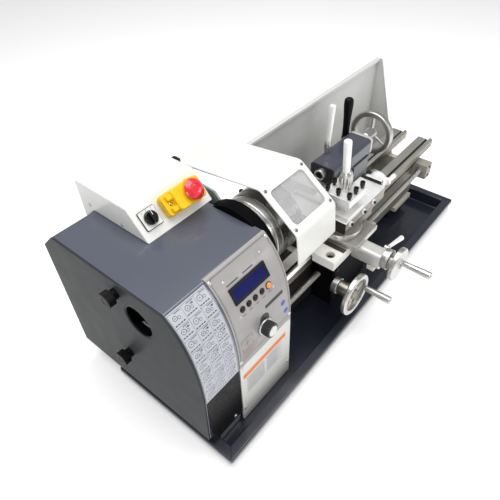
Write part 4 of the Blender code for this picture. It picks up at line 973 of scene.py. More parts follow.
def drive():
    centre = AXIS
    x = reach("spindle")[0]
    flange = 225.6
    form = Form(centre)
    form.turned([(19.0, x[1]), (CHUCK_RADIUS, x[1]), (CHUCK_RADIUS, flange + 14), (61.6, flange + 12.6),
                 (CHUCK_RADIUS, flange + 11), (CHUCK_RADIUS, flange), (24.0, flange), (24.0, x[0] + 26),
                 (23.0, x[0] + 22), (23.0, x[0] + 1), (22.0, x[0]), (20.4, x[0]), (19.0, x[0] + 1.4),
                 (19.0, x[1])], centre, "X")
    for i in range(3):
        turn = math.tau * (i + 0.1) / 3
        place = Matrix.Translation((flange + 6, 62.1 * math.cos(turn), SPINDLE_Z + 62.1 * math.sin(turn)))
        place = place @ Matrix.Rotation(turn + math.pi / 2, 4, "X") @ TURNS["-Y"]
        form.socket_screw(place, 3.6, 0.6, 1)
    form.piece("spindle_turned", "spindle", (TURNED_X, BLACK_OXIDE), "spindle")
    pulley = reach("spindle_pulley")[0]
    form = Form(centre)
    grooves = []
    for i in range(7):
        grooves += [(45.8, pulley[0] + 5 + i * 2.2), (44.2, pulley[0] + 6.1 + i * 2.2)]
    form.turned([(24.3, pulley[0]), (46.0, pulley[0]), (46.0, pulley[0] + 4), *grooves, (46.0, pulley[1] - 2),
                 (46.0, pulley[1]), (24.3, pulley[1])], centre, "X", soft=0.2)
    form.piece("spindle_pulley_grooved", "spindle", POLISHED, "spindle_pulley")
    mx, my, mz = reach("motor_pulley")
    axis = (0.0, middle(my), middle(mz))
    form = Form(axis)
    form.turned([(0.0, mx[0]), (6.0, mx[0]), (6.4, mx[0] + 2), (21.0, mx[0] + 2), (22.0, mx[0] + 3),
                 (22.0, mx[1]), (0.0, mx[1])], axis, "X")
    form.piece("motor_pulley_turned", "motor_pulley", POLISHED, "motor_pulley")
    mx = reach("motor")[0]
    form = Form()
    form.turned([(0.0, mx[0]), (40.0, mx[0]), (50.0, mx[0] + 4), (52.0, mx[0] + 8), (52.0, mx[1] - 12),
                 (46.0, mx[1]), (0.0, mx[1])], axis, "X", soft=2.0)
    for i in range(24):
        turn = math.tau * i / 24
        place = Matrix.Translation((0.0, axis[1], axis[2])) @ Matrix.Rotation(turn, 4, "X")
        form.block((mx[0] + 20, mx[1] - 24), (-1.0, 1.0), (48.0, 51.9), 0.3, place=place)
    form.piece("motor_housing", "lathe_bed", BLACK, "motor")
    refined("drive_belt", BELT, 0.4)


def chuck():
    centre = AXIS
    x = reach("chuck_body")[0]
    floor = x[1] - 16
    form = Form(centre)
    form.turned([(16.0, floor), (CHUCK_RADIUS, floor), (CHUCK_RADIUS, x[0] + 20), (61.4, x[0] + 19),
                 (61.4, x[0] + 17), (CHUCK_RADIUS, x[0] + 16), (CHUCK_RADIUS, x[0] + 2), (60.5, x[0]),
                 (16.0, x[0]), (16.0, floor)], centre, "X")
    half = 7.3
    outer_gap = math.degrees(math.asin(half / CHUCK_RADIUS))
    inner_gap = math.degrees(math.asin(half / 16.5))
    for i in range(3):
        start = 90 + i * 120
        sector = arc((0.0, SPINDLE_Z), CHUCK_RADIUS, start + outer_gap, start + 120 - outer_gap, 20)
        sector += arc((0.0, SPINDLE_Z), 16.5, start + 120 - inner_gap, start + inner_gap, 6)
        form.prism(sector, "YZ", floor - 0.2, x[1], 1.2)
        turn = math.radians(start + 60)
        place = Matrix.Translation((x[0] + 36, 62.3 * math.cos(turn), SPINDLE_Z + 62.3 * math.sin(turn)))
        place = place @ Matrix.Rotation(turn + math.pi / 2, 4, "X") @ TURNS["-Y"]
        form.turned([(6.0, 0.0), (6.0, 0.35), (4.6, 0.4), (4.4, 0.1),
                     (0.0, 0.1)], axis="Z", ink=1, place=place,
                    steps=32, soft=0.2)
    form.piece("chuck_body_turned", "spindle", (CHUCK_STEEL, BLACK_OXIDE), "chuck_body", sharp=30)
    for number in (1, 2, 3):
        refined(f"chuck_jaw_{number}", POLISHED, 0.7)


# ---------------------------------------------------------------- guard and switch box

def guard_frame():
    """A frame on the guard's sloping front: X along the lathe, Y down the slope, Z outwards."""
    ridge, brow = Vector(GUARD_RIDGE), Vector(GUARD_BROW)
    down = (brow - ridge).normalized()
    along, out = Vector((1.0, 0.0, 0.0)), Vector((0.0, down.y, -down.x))
    turn = Matrix((-along, Vector((0.0, *down)), out)).transposed().to_4x4()
    return Matrix.Translation((0.0, *ridge)) @ turn


def chuck_guard():
    x = reach("chuck_guard")[0]
    pivot = GUARD_PIVOT
    section = [(180.0, 328.5), GUARD_RIDGE, GUARD_BROW, (-95.0, 232.0), (-87.0, 224.5), (-76.0, 255.0),
               (-61.0, 296.0), (-49.0, 304.5), (101.0, 299.5), (134.0, 323.0), (180.0, 323.0)]
    outer = section[:1] + soften([(180.0, 328.5), GUARD_RIDGE, GUARD_BROW, (-95.0, 232.0), (-87.0, 224.5)],
                                 7.0)[1:-1] + section[4:]
    inside = [(190.0, 323.0), (-14.5, 348.9), (-87.2, 292.4), (-92.7, 232.0), (-80.0, 205.0), (0.0, 240.0),
              (190.0, 290.0)]
    inner = soften(inside[:5], 5.5) + inside[5:]
    form = Form(pivot)
    form.prism(outer, "YZ", x[0], x[1], 1.6)
    hollow = Form().prism(inner, "YZ", x[0] - 5, x[1] - 2.2, 0.0)
    slope = guard_frame()
    opening = Form().prism(rounded_rectangle((-350.0, -264.0), (12.0, 80.0), 8.0, 8),
                           "XY", -7.0, 7.0, 0.0, place=slope)
    carved(form, (hollow, opening))
    form.turned([(4.4, x[0] + 4), (6.0, x[0] + 4), (6.0, x[1] - 4), (4.4, x[1] - 4)], pivot, "X", steps=32)
    form.piece("guard_hood", "chuck_guard", WHITE, "chuck_guard", bevel=0.35)
    pane = Form(pivot)
    pane.prism(rounded_rectangle((-356.0, -258.0), (7.0, 87.0), 5.0), "XY", -3.9, -2.5, 0.3, place=slope)
    pane.piece("guard_pane", "chuck_guard", CLEAR, "guard_window")
    screws = Form(pivot)
    for px in (-355.0, -259.0):
        for s in (7.5, 84.5):
            screws.dome_screw(slope @ Matrix.Translation((px, s, 0.0)), 3.3, 1.8)
    screws.piece("guard_screws", "chuck_guard", OILED, slot="oiled_steel")


def guard_bracket():
    refined("guard_bracket", GREYGREEN, 0.9)
    form = Form()
    form.turned([(0.0, 218.0), (8.4, 218.0), (9.5, 219.4), (9.5, 238.6), (8.4, 240.0), (0.0, 240.0)],
                GUARD_PIVOT, "X")
    form.block((229.0, 243.0), (150.0, 166.0), (336.0, 350.0), 2.4)
    form.socket_screw(facing("-X", 225.8, 84.0, 312.0), 5.0, 4.6)
    form.socket_screw(facing("-X", 225.8, 150.0, 320.0), 4.0, 3.6)
    form.piece("guard_hinge_cap", "lathe_bed", BLACK_OXIDE, slot="black_casting")


def slope_frame():
    """A frame on the switch box's sloping face: X along the lathe, Y up the slope, Z outwards."""
    foot, crest = Vector(SLOPE_FOOT), Vector(SLOPE_CREST)
    up = (crest - foot).normalized()
    along, rise = Vector((1.0, 0.0, 0.0)), Vector((0.0, up.x, up.y))
    turn = Matrix((along, rise, along.cross(rise))).transposed().to_4x4()
    return Matrix.Translation((0.0, *foot)) @ turn


def switch_box():
    x, y, z = reach("switch_box")
    section = [SLOPE_FOOT, (182.2, 323.6), (y[1], z[0]), (y[1], z[1]), (91.9, z[1])]
    form = Form()
    form.prism(section, "YZ", x[0], x[1], 2.2, segments=4)
    form.piece("switch_box_shell", "lathe_bed", WHITE, "switch_box")
    screws = Form()
    for py in (110.0, 190.0):
        screws.dome_screw(facing("-X", x[0], py, 332.0), 3.2, 1.4)
        screws.dome_screw(facing("X", x[1], py, 332.0), 3.2, 1.4)
    screws.piece("switch_box_screws", "lathe_bed", POLISHED, slot="oiled_steel")


def direction_switch():
    slope = slope_frame()
    cx, cy = 104.8, 31.0
    square = rounded_rectangle((cx - 15.5, cx + 15.5), (cy - 15.5, cy + 15.5), 2.0)
    form = Form()
    form.prism(square, "XY", 0.3, 2.3, 0.4, 1, place=slope)
    half = 14.6
    form.prism(rounded_rectangle((cx - half, cx + half), (cy - half, cy + half), 1.6), "XY", 2.2, 3.3, 0.3,
               place=slope)
    for px, py in ((cx - 9.0, cy + 12.2), (cx, cy + 13.0), (cx + 9.0, cy + 12.2)):
        form.block((px - 0.5, px + 0.5), (py - 0.7, py + 0.7), (3.3, 3.36), 0.0, 1, slope)
    form.piece("switch_plate_printed", "lathe_bed", (PLATE_WHITE, INK), "direction_switch_plate")
    knob = Form(slope @ Vector((cx, cy, 0.0)))
    at = slope @ Matrix.Translation((cx, cy, 0.0))
    knob.turned([(0.0, 9.0), (9.4, 9.0), (10.8, 8.0), (11.0, 5.0), (11.0, 3.7),
                 (0.0, 3.7)], axis="Z", place=at)
    knob.prism(rounded_rectangle((-3.0, 3.0), (-10.0, 10.0), 2.4), "XY", 8.0, 16.0, 0.9, place=at)
    knob.block((-0.5, 0.5), (3.0, 9.6), (15.9, 16.05), 0.0, 1, at)
    knob.piece("switch_pointer", "direction_switch", (GLOSS_BLACK, PLATE_WHITE), "direction_switch_knob")


def emergency_stop():
    slope = slope_frame()
    x, rise = (128.5, 199.0), (14.0, 50.0)
    centre = middle(rise)
    base = Form()
    base.prism(rounded_rectangle(x, rise, 6.5, 8), "XY", 0.3, 10.3, 0.8, place=slope)
    base.block((x[1] - 4, x[1] + 0.3), (centre - 6, centre + 6), (3.0, 9.0), 0.8, 0, slope)
    base.piece("stop_base", "lathe_bed", YELLOW, "estop_base")
    pivot = slope @ Vector((x[0], centre, 10.45))
    lid = Form(pivot)
    step = x[0] + 19.0
    lid.prism(rounded_rectangle((step - 3, x[1]), rise, 6.5, 8),
              "XY", 10.6, 24.0, 2.4, place=slope, segments=4)
    lid.prism(rounded_rectangle((x[0], step + 3), (rise[0] + 1, rise[1] - 1), 5.5, 8), "XY", 10.6, 14.6, 1.2,
              place=slope)
    for side in (centre - 9.5, centre + 9.5):
        lid.block((x[0] + 6.0, step), (side - 4.0, side + 4.0), (13.0, 20.5), 1.2, 0, slope)
        lid.block((x[1] - 1.5, x[1] + 1.5), (side - 2.6, side + 2.6), (12.0, 20.0), 0.8, 0, slope)
    lid.turned([(20.0, 23.9), (20.0, 24.5), (18.6, 25.0), (10.0, 25.0), (9.6, 24.0)], axis="Z",
               place=slope @ Matrix.Translation((STOP_BUTTON_X, centre, 0.0)))
    lid.piece("stop_lid", "estop_lid", YELLOW, "estop_lid")
    trim = Form(pivot)
    trim.dome_screw(slope @ Matrix.Translation((x[0] + 10.5, centre, 14.5)), 3.6, 1.6)
    trim.piece("stop_lid_screw", "estop_lid", BRASS, slot="oiled_steel")
    button = Form(slope @ Vector((STOP_BUTTON_X, centre, 15.0)))
    at = slope @ Matrix.Translation((STOP_BUTTON_X, centre, 0.0))
    button.turned([(0.0, 34.2), (6.0, 34.4), (8.2, 35.6), (9.4, 36.0), (10.6, 35.4), (14.6, 32.8),
                   (17.0, 30.6), (16.6, 29.6), (12.0, 29.5), (9.0, 29.4), (9.0, 15.0),
                   (0.0, 15.0)], axis="Z", place=at, soft=1.0)
    button.piece("stop_mushroom", "estop_button", RED, "estop_button")


# ---------------------------------------------------------------- carriage

def leadscrew():
    x, y, z = reach("leadscrew")
    axis = (0.0, middle(y), middle(z))
    radius, collar = 6.0, 9.0
    teeth, pitch = [], 3.0
    count = int((x[1] - 14 - x[0]) / pitch)
    for i in range(count):
        at = x[0] + i * pitch
        teeth += [(4.8, at), (radius, at + 0.7), (radius, at + 1.5), (4.8, at + 2.2)]
    form = Form(axis)
    form.turned([(0.0, x[0]), *teeth, (radius, x[1] - 12), (collar, x[1] - 12), (collar, x[1] - 4),
                 (radius, x[1] - 4), (radius, x[1]), (0.0, x[1])], axis, "X", soft=0.0, steps=28)
    form.piece("leadscrew_thread", "leadscrew", THREAD_STEEL, "leadscrew", sharp=30)
    refined("leadscrew_bracket", BEIGE, 1.8)
    hub = Form()
    hub.turned([(0.0, 814.0), (6.0, 814.0), (8.6, 813.0), (8.6, 811.0), (0.0, 811.0)], axis, "X")
    for pz in (111.0, 135.5):
        hub.socket_screw(facing("-Y", 798.0, -91.8, pz), 3.2, 1.6)
    hub.piece("leadscrew_end_hub", "lathe_bed", BLACK_OXIDE, slot="black_casting")


def saddle():
    form = Form().copy_of("saddle")
    top = reach("saddle")[2][1]
    tint(form, lambda normal, centre, ink: 1 if centre.z > top - 5 and 384 < centre.x < 438 else 0)
    form.piece("saddle_casting", "carriage", (SADDLE_CREAM, STEEL_Y), "saddle", bevel=1.3)
    form = Form()
    form.block((372.3, 384.6), (-111.0, 59.0), (179.9, 180.15), 0.0)
    form.piece("saddle_oiled_strip", "carriage", OILED, slot="oiled_steel")
    screws = Form()
    for px, py in ((352.0, -60.0), (352.0, 40.0), (470.0, -60.0), (470.0, -96.0), (470.0, 40.0)):
        screws.socket_screw(Matrix.Translation((px, py, 180.0)), 3.6, 1.2)
    screws.turned([(9.0, 180.0), (9.0, 180.5), (8.0, 180.6), (7.8, 172.0)], (354.6, -94.2, 0.0), "Z", 1)
    screws.socket_screw(Matrix.Translation((354.6, -94.2, 166.0)), 6.4, 7.0)
    screws.piece("saddle_screws", "carriage", (BLACK_OXIDE, CREAM), slot="cream_paint")
    refined("apron", BLACK, 2.0)
    x, y, z = reach("apron")
    trim = Form()
    for px, pz in ((x[0] + 10, z[1] - 8), (x[1] - 10, z[1] - 8), (x[1] - 10, z[0] + 8)):
        trim.socket_screw(facing("-Y", px, y[0], pz), 3.4, 2.0, 1)
    trim.piece("apron_trim", "carriage", (BLACK, BLACK_OXIDE), slot="black_casting")


def spun_handle(node):
    """A chrome handle on a crank pin, pointing at the operator, with a dimpled flat end."""
    x, y, z = reach(node)
    centre = (middle(x), 0.0, middle(z))
    near, far = -y[1], -y[0]
    form = Form((middle(x), middle(y), middle(z)))
    tip, neck = (x[1] - x[0]) / 2, 5.6
    form.turned([(0.0, far - 2.0), (1.6, far - 1.4), (2.4, far - 0.2), (tip - 1.4, far),
                 (tip - 0.2, far - 1.2), (tip, far - 5), (tip - 0.2, far - 14),
                 ((neck + tip) / 2, middle((near, far))), (neck, near + 6), (neck, near),
                 (0.0, near)], centre, "-Y", soft=1.4)
    form.piece(node + "_turned", body_of(node), CHROME, node)


def graduations(form, centre, axis, radius, along, count, ink, length=(2.0, 3.4), width=0.28):
    """Engraved marks round a dial, every fifth one longer."""
    base = Matrix.Translation(centre) @ TURNS[axis]
    for i in range(count):
        reach_out = length[1] if i % 5 == 0 else length[0]
        place = base @ Matrix.Rotation(math.tau * i / count, 4, "Z")
        form.block((radius - 0.3, radius + 0.05), (-width / 2, width / 2), (along, along + reach_out),
                   0.0, ink, place)


def apron_wheel():
    x, y, z = reach("apron_wheel")
    centre = (middle(x), 0.0, middle(z))
    face = 111.8
    form = Form((middle(x), middle(y), middle(z)))
    rim = [(33.0, 151.6), (33.4, 151.0), (40.6, 151.0), (42.0, 152.6), (42.0, 159.2), (40.8, 161.0),
           (34.0, 161.0), (33.0, 160.2), (33.0, 151.6)]
    form.turned(rim, centre, "-Y", 0, soft=0.8)
    form.turned([(0.0, 158.0), (7.0, 158.0), (9.4, 157.2), (10.4, 154.0), (11.6, 149.0), (13.0, 145.0),
                 (13.6, 136.0), (14.0, face + 12.2), (0.0, face + 12.2)], centre, "-Y", 3, soft=1.2)
    form.turned([(14.0, face + 12.0), (15.4, face + 12.0), (16.0, face + 11.4), (16.0, face + 0.6),
                 (15.4, face), (0.0, face)], centre, "-Y", 0, soft=0.4)
    graduations(form, centre, "-Y", 16.0, face + 6.5, 50, 2)
    web = disc_points((0.0, 0.0), 36.0, 72)
    holes = []
    for i in range(3):
        start = 15 + i * 120
        holes.append(arc((0.0, 0.0), 32.0, start, start + 96, 18) + arc((0.0, 0.0),
                                                                        16.0, start + 84, start + 12, 10))
    form.prism(web, "XY", 150.6, 154.4, 0.5, 1, holes=holes,
               place=Matrix.Translation(centre) @ TURNS["-Y"])
    form.piece("apron_wheel_turned", "apron_wheel", (CHROME, CAST_WEB, INK, OILED), "apron_wheel")


def cross_feed():
    x, y, z = reach("cross_screw_bracket")
    form = Form()
    form.prism(rounded_rectangle(x, (150.0, z[1]), 7.0, 8), "XZ", y[0], y[1], 1.6)
    form.block((401.0, 418.0), (-162.0, -146.0), (z[0], 151.0), 2.2, 1)
    form.piece("cross_screw_block", "carriage", (SATIN_SILVER, CREAM), "cross_screw_bracket")
    x, y, z = reach("cross_wheel")
    centre = (middle(x), 0.0, middle(z))
    wheel = Form((middle(x), middle(y), middle(z)))
    wheel.turned([(9.0, 186.0), (17.4, 186.0), (19.3, 184.6), (19.5, 183.6), (19.5, 172.0), (18.6, 171.3),
                  (0.0, 171.3)],
                 centre, "-Y", 0, soft=0.4)
    graduations(wheel, centre, "-Y", 19.5, 172.4, 50, 2, (2.6, 4.6), 0.34)
    wheel.prism(fluted(19.7, 0.35, 60, 4), "XY", 179.5, 184.4, 0.1, 0,
                place=Matrix.Translation(centre) @ TURNS["-Y"], segments=1)
    wheel.turned([(6.0, 201.0), (6.2, 205.4), (7.0, 206.0), (8.4, 206.0), (9.0, 205.4), (9.2, 204.2),
                  (30.4, 204.0), (32.0, 202.4), (32.0, 195.6), (30.4, 194.0), (11.0, 194.0), (9.0, 190.0),
                  (9.0, 185.0)],
                 centre, "-Y", 1, soft=0.7)
    wheel.turned([(0.0, 201.2), (6.1, 201.2)], centre, "-Y", 2, soft=0.0)
    wheel.piece("cross_wheel_turned", "cross_wheel", (TURNED_Y, CHROME, INK), "cross_wheel")


def feed_lever():
    form = Form((437.0, -165.0, 177.0))
    form.turned([(0.0, 170.0), (4.6, 170.0), (5.5, 169.2), (5.5, 160.8), (4.6, 160.0), (0.0, 160.0)],
                (437.0, 0.0, 177.0), "-Y", 0)
    form.rod((437.0, -165.0, 177.0), (497.0, -168.2, 162.3), 3.0, 5.0, 3.6, 1)
    form.piece("feed_lever_turned", "feed_lever", (CHROME, LEVER_SILVER), "feed_lever")


def cross_slide():
    x, y, z = reach("cross_slide")
    form = Form()
    form.block(x, y, z, 0.9)
    for px in (x[0] + 14, x[1] - 14):
        form.block((px - 4, px + 4), (y[0] + 60, y[1] - 4), (z[1] - 0.1, z[1] + 0.12), 0.0, 1)
    for py in (y[0] + 40, y[0] + 80, y[0] + 120, y[1] - 16):
        form.socket_screw(Matrix.Translation((x[1], py, middle(z))) @ TURNS["X"], 2.4, 1.0, 1)
    form.block((x[1] - 1.0, x[1] + 5.0), (y[0] + 6, y[0] + 18), (z[0] + 1, z[1] + 0.2), 1.0)
    form.piece("cross_slide_plate", "cross_slide", (SLIDE_STEEL, BLACK_OXIDE), "cross_slide")


def compound():
    z = reach("compound_base")[2]
    cx, cy = SWIVEL
    low = z[0]
    form = Form((cx, cy, low))
    form.turned([(0.0, 207.0), (38.6, 207.0), (40.0, 205.4), (40.0, low + 1), (39.4, low), (0.0, low)],
                (cx, cy, 0.0), "Z", 0, soft=0.5)
    base = Matrix.Translation((cx, cy, 0.0))
    for i in range(-30, 31):
        turn = Matrix.Rotation(math.radians(-90 + i * 3), 4, "Z")
        size = 5.0 if i % 10 == 0 else (3.8 if i % 5 == 0 else 2.4)
        form.block((39.7, 40.06), (-0.2, 0.2), (low + 1.5, low + 1.5 + size), 0.0, 1, base @ turn)
    form.block((385.0, 485.0), (-102.0, -50.0), (low + 0.6, z[1]), 0.8, 2)
    form.piece("compound_swivel_base", "compound_base", (SLIDE_STEEL, INK, COMPOUND_FRONT), "compound_base")
    x, y, z = reach("compound_slide")
    form = Form()
    form.block((x[0], 526.5), y, (z[0], 238.0), 0.9)
    form.block((x[0] + 1, 525.5), (y[0] - 0.4, y[0] + 1), (z[0] + 1.2, z[0] + 12.0), 0.3, 1)
    form.prism(rounded_rectangle((-94.0, -56.0), (213.0, z[1]), 5.0), "YZ", 525.8, x[1], 0.8, 0)

    # The top is ground bright steel; the left end face gets painted shade (material 3).
    def ground_top_shaded_end(normal, centre, ink):
        if normal.z > 0.7:
            return 2
        return 3 if normal.x < -0.7 else ink

    tint(form, ground_top_shaded_end)
    form.piece("compound_slide_block", "compound_slide", (COMPOUND_FRONT, OILED, BRIGHT_STEEL, PAINTED_SHADE),
               "compound_slide")
    screws = Form()
    for px in (398.0, 443.0, 479.0):
        face = facing("-Y", px, y[0], 231.0)
        nut = hexagon(5.6)
        screws.prism(nut, "XY", 0.0, 3.2, 0.3, 1, place=face)
        screws.rod((px, y[0] - 2, 231.0), (px, y[0] - 7.4, 231.0), 2.8, steps=20)
    for py in (-88.0, -62.0):
        screws.socket_screw(facing("X", x[1], py, 219.0), 2.8, 1.2)
    screws.piece("compound_gib_screws", "compound_slide", (BLACK_OXIDE, LEVER_SILVER), slot="black_casting")
    centre = (0.0, -75.0, 228.0)
    wheel = Form(centre)
    wheel.turned([(0.0, 557.0), (15.0, 557.0), (16.6, 556.0), (18.0, 553.0), (18.0, 535.2), (17.4, 534.6),
                  (0.0, 534.6)],
                 centre, "X", 0)
    graduations(wheel, centre, "X", 18.0, 535.6, 50, 1, (2.4, 4.2), 0.32)
    wheel.prism(fluted(18.2, 0.4, 50, 4), "XY", 545.0, 552.0, 0.1, 0,
                place=Matrix.Translation(centre) @ TURNS["X"], segments=1)
    wheel.prism(rounded_rectangle((-98.0, -64.0), (218.0, 234.0), 7.0), "YZ", 556.5, 563.0, 1.2, 2)
    wheel.turned([(0.0, 592.0), (3.6, 591.4), (4.9, 589.0), (5.0, 585.0), (4.4, 574.0), (4.0, 566.0),
                  (4.6, 563.0), (0.0, 562.0)], (0.0, -91.0, 224.0), "X", 2, soft=1.0)
    wheel.piece("compound_crank", "compound_wheel", (LEVER_SILVER, INK, LEVER_SILVER), "compound_wheel")


def toolpost():
    x, y, z = reach("toolpost")
    cx, cy = middle(x), middle(y)
    form = Form((cx, cy, z[0]))
    form.block(x, y, (z[0], 248.0), 1.0)
    form.block((x[0] + 15, x[1] - 15), (y[0] + 15, y[1] - 15), (247.0, 271.0), 1.0)
    form.block(x, y, (270.0, z[1]), 1.0)
    form.turned([(0.0, z[1] + 0.25), (13.0, z[1] + 0.2), (13.6, z[1]), (13.6, z[1] - 1)], (cx, cy, 0.0),
                "Z", 0)
    form.piece("toolpost_block", "toolpost", BRIGHT_STEEL, "toolpost")
    bolts = Form((cx, cy, z[0]))
    spacing = 22.0
    for dx in (-spacing, 0.0, spacing):
        for dy in (-spacing, 0.0, spacing):
            if dx or dy:
                px, py = cx + dx, cy + dy
                bolts.rod((px, py, z[1]), (px, py, z[1] + 5.4), 3.0, steps=20)
                bolts.socket_screw(Matrix.Translation((px, py, z[1] + 5.0)), 4.6, 7.6)
                bolts.rod((px, py, 271.0), (px, py, 266.0), 3.0, 2.2, steps=20)
    bolts.piece("toolpost_bolts", "toolpost", BLACK_OXIDE, slot="black_casting")


def fluted_hub(form, centre, radius, low, high, count=10):
    """A clamping lever's hub: a swelling ribbed sleeve between a smooth collar and a domed cap."""
    tall = high - low
    levels = ((0.76, 0.0, 0.0), (0.80, 0.06, 0.0), (0.84, 0.14, 0.0), (0.88, 0.18, 0.16), (0.97, 0.35, 0.16),
              (1.0, 0.48, 0.16), (0.99, 0.60, 0.16), (0.94, 0.70, 0.16), (0.92, 0.73, 0.0), (0.88, 0.80, 0.0),
              (0.76, 0.90, 0.0), (0.62, 0.97, 0.0), (0.45, 1.0, 0.0))
    outlines = []
    for share, height, depth in levels:
        loop = fluted(radius * share, radius * share * depth, count, 8)
        outlines.append([(centre[0] + a, centre[1] + b, low + tall * height) for a, b in loop])
    loft(form, outlines)


def toolpost_lever():
    z = reach("toolpost_lever")[2]
    cx, cy = SWIVEL
    form = Form((cx, cy, z[0]))
    fluted_hub(form, (cx, cy), 12.5, z[0], 325.0)
    form.rod((cx - 1, cy, 312.0), (cx - 9, cy, z[1] - 0.5), 6.3, 7.2, 3.0, 1)
    form.piece("toolpost_lever_turned", "toolpost_lever", (CHROME, LEVER_SILVER), "toolpost_lever")


# ---------------------------------------------------------------- tailstock

def tailstock():
    form = Form().copy_of("tailstock_base")
    form.piece("tailstock_base_casting", "tailstock", DARK_STEEL, "tailstock_base", bevel=1.2)
    x = reach("tailstock_body")[0]
    form = Form()
    end = 596.0
    form.prism(rounded_rectangle((-27.0, 27.0), (243.0, 281.4), 8.0, 8), "YZ", x[0], end, 1.6, segments=4,
               holes=(disc_points((0.0, SPINDLE_Z), 11.3, 48),))
    form.prism(rounded_rectangle((525.0, 592.0), (-30.0, 18.0), 7.0, 6), "XY", 196.3, 250.0, 1.2)
    form.prism(rounded_rectangle((-26.0, 26.0), (244.0, 280.6), 7.5, 6), "YZ", end - 0.5, x[1], 1.6, 1,
               holes=(disc_points((0.0, SPINDLE_Z), 5.0, 32),))
    form.block((505.0, 527.0), (-9.0, 9.0), (222.0, 246.0), 4.0)
    form.piece("tailstock_casting", "tailstock", (TAIL_SLATE, SATIN_SILVER), "tailstock_body", sharp=32)
    trim = Form()
    trim.prism(rounded_rectangle((-24.5, 24.5), (245.4, 279.0), 6.5, 8), "YZ", x[0] - 0.3, x[0] + 0.4, 0.2, 0,
               holes=(disc_points((0.0, SPINDLE_Z), 12.2, 48),))
    for py in (-16.0, 15.0):
        for pz in (251.0, 273.0):
            trim.socket_screw(facing("X", x[1], py, pz), 2.6, 1.0, 1)
    for px in (540.0, 575.0):
        trim.socket_screw(facing("-Y", px, -29.8, 205.0), 3.6, 2.0, 1)
    trim.turned([(0.0, 2.4), (4.6, 2.4), (5.4, 1.4), (5.4, 0.0)], (540.0, 0.0, 281.2), "Z", 2)
    trim.piece("tailstock_trim", "tailstock", (SATIN_BLACK, BLACK_OXIDE, BRASS), slot="black_plastic")


def quill():
    x = reach("quill")[0]
    centre = AXIS
    form = Form(centre)
    form.turned([(5.0, x[1]), (11.0, x[1]), (11.0, x[0] + 1.2), (10.0, x[0]), (8.0, x[0]), (7.4, x[0] + 1.0),
                 (5.0, x[0] + 40), (5.0, x[1])], centre, "X")
    base = Matrix.Translation(centre) @ TURNS["X"] @ Matrix.Rotation(math.pi, 4, "Z")
    for i in range(14):
        size = 0.5 if i % 5 == 0 else 0.3
        form.block((10.9, 11.05), (-8 * size, 8 * size), (x[0] + 14 + i * 4, x[0] + 14.3 + i * 4),
                   0.0, 1, base)
    tint(form, lambda normal, centre, ink: 2 if math.hypot(centre.y, centre.z - SPINDLE_Z) < 8 else ink)
    form.piece("quill_turned", "quill", (CHROME, INK, SLIDE_STEEL), "quill")
    cap = Form(centre)
    cap.turned([(11.3, x[0] + 11.0), (12.0, x[0] + 11.2), (12.0, x[0] + 11.9),
                (11.3, x[0] + 12.0)], centre, "X",
               soft=0.0)
    cap.piece("quill_wiper", "tailstock", SATIN_BLACK, slot="black_plastic")


def tailstock_wheel():
    x = (640.0, 654.0)
    centre = AXIS
    form = Form(centre)
    form.turned([(44.6, x[0]), (46.6, x[0] + 0.4), (47.8, x[0] + 2.0), (48.0, x[0] + 4.6), (48.0, x[1] - 4.6),
                 (47.8, x[1] - 2.0), (46.6, x[1] - 0.4), (44.6, x[1])], centre, "X", 0, soft=0.8)
    form.turned([(44.8, x[0] + 0.1), (38.0, x[0] + 0.4), (36.4, x[0] + 1.6), (36.0, x[0] + 4.0),
                 (36.0, x[1] - 4.0), (36.4, x[1] - 1.6), (38.0, x[1] - 0.4),
                 (44.8, x[1] - 0.1)], centre, "X", 1, soft=0.6)
    form.turned([(0.0, x[1] - 2.2), (7.6, x[1] - 2.2), (10.6, x[1] - 4.0), (12.0, x[1] - 7.0), (12.0, 618.0),
                 (10.4, 614.0), (10.4, 605.6), (0.0, 605.5)], centre, "X", 0, soft=1.2)
    form.rod((500.0, 0.0, SPINDLE_Z), (606.0, 0.0, SPINDLE_Z), 4.2)
    for degrees in (90.0, 210.0, 330.0):
        turn = math.radians(degrees)
        tip = (middle(x), 38.0 * math.cos(turn), SPINDLE_Z + 38.0 * math.sin(turn))
        form.rod((middle(x) - 1, 0.0, SPINDLE_Z), tip, 4.2, 3.2)
    nut = hexagon(5.4)
    form.prism(nut, "XY", x[1] - 2.4, x[1] - 0.6, 0.3, 2, place=Matrix.Translation(centre) @ TURNS["X"])
    form.piece("tailstock_wheel_turned", "tailstock_wheel", (CHROME, THREAD_STEEL, BLACK_OXIDE),
               "tailstock_wheel")


def tailstock_levers():
    z = reach("quill_lock_lever")[2]
    cx, cy = 502.0, 19.0
    form = Form((cx, cy, z[0]))
    fluted_hub(form, (cx, cy), 7.4, z[0], 308.0, 8)
    form.rod((cx + 0.2, cy, 300.0), (cx + 7, cy, z[1] - 0.5), 5.2, 6.1, 2.6, 1)
    form.piece("quill_lock_turned", "quill_lock_lever", (CHROME, LEVER_SILVER), "quill_lock_lever")
    px, pz, py = 580.0, 215.0, 38.0
    form = Form((px, py, pz))
    form.turned([(0.0, -18.5), (8.0, -18.5), (9.0, -19.6), (9.0, -45.0), (8.0, -46.0),
                 (0.0, -46.0)], (px, 0.0, pz), "-Y",
                1)
    form.rod((px, py, pz), (603.0, py, 246.0), 4.6, 4.2, ink=1)
    low, high = 240.0, 349.5
    form.turned([(0.0, low), (6.4, low + 0.4), (8.4, low + 3), (8.5, low + 10), (7.2, low + 30),
                 (7.0, low + 46), (8.0, low + 70), (9.6, high - 18), (9.8, high - 10), (8.6, high - 3),
                 (5.0, high), (0.0, high)],
                (603.0, py, 0.0), "Z", 0, soft=2.0)
    form.piece("tailstock_clamp_turned", "tailstock_clamp_handle", (DEEP_BLACK, POLISHED),
               "tailstock_clamp_handle")


# ---------------------------------------------------------------- stage

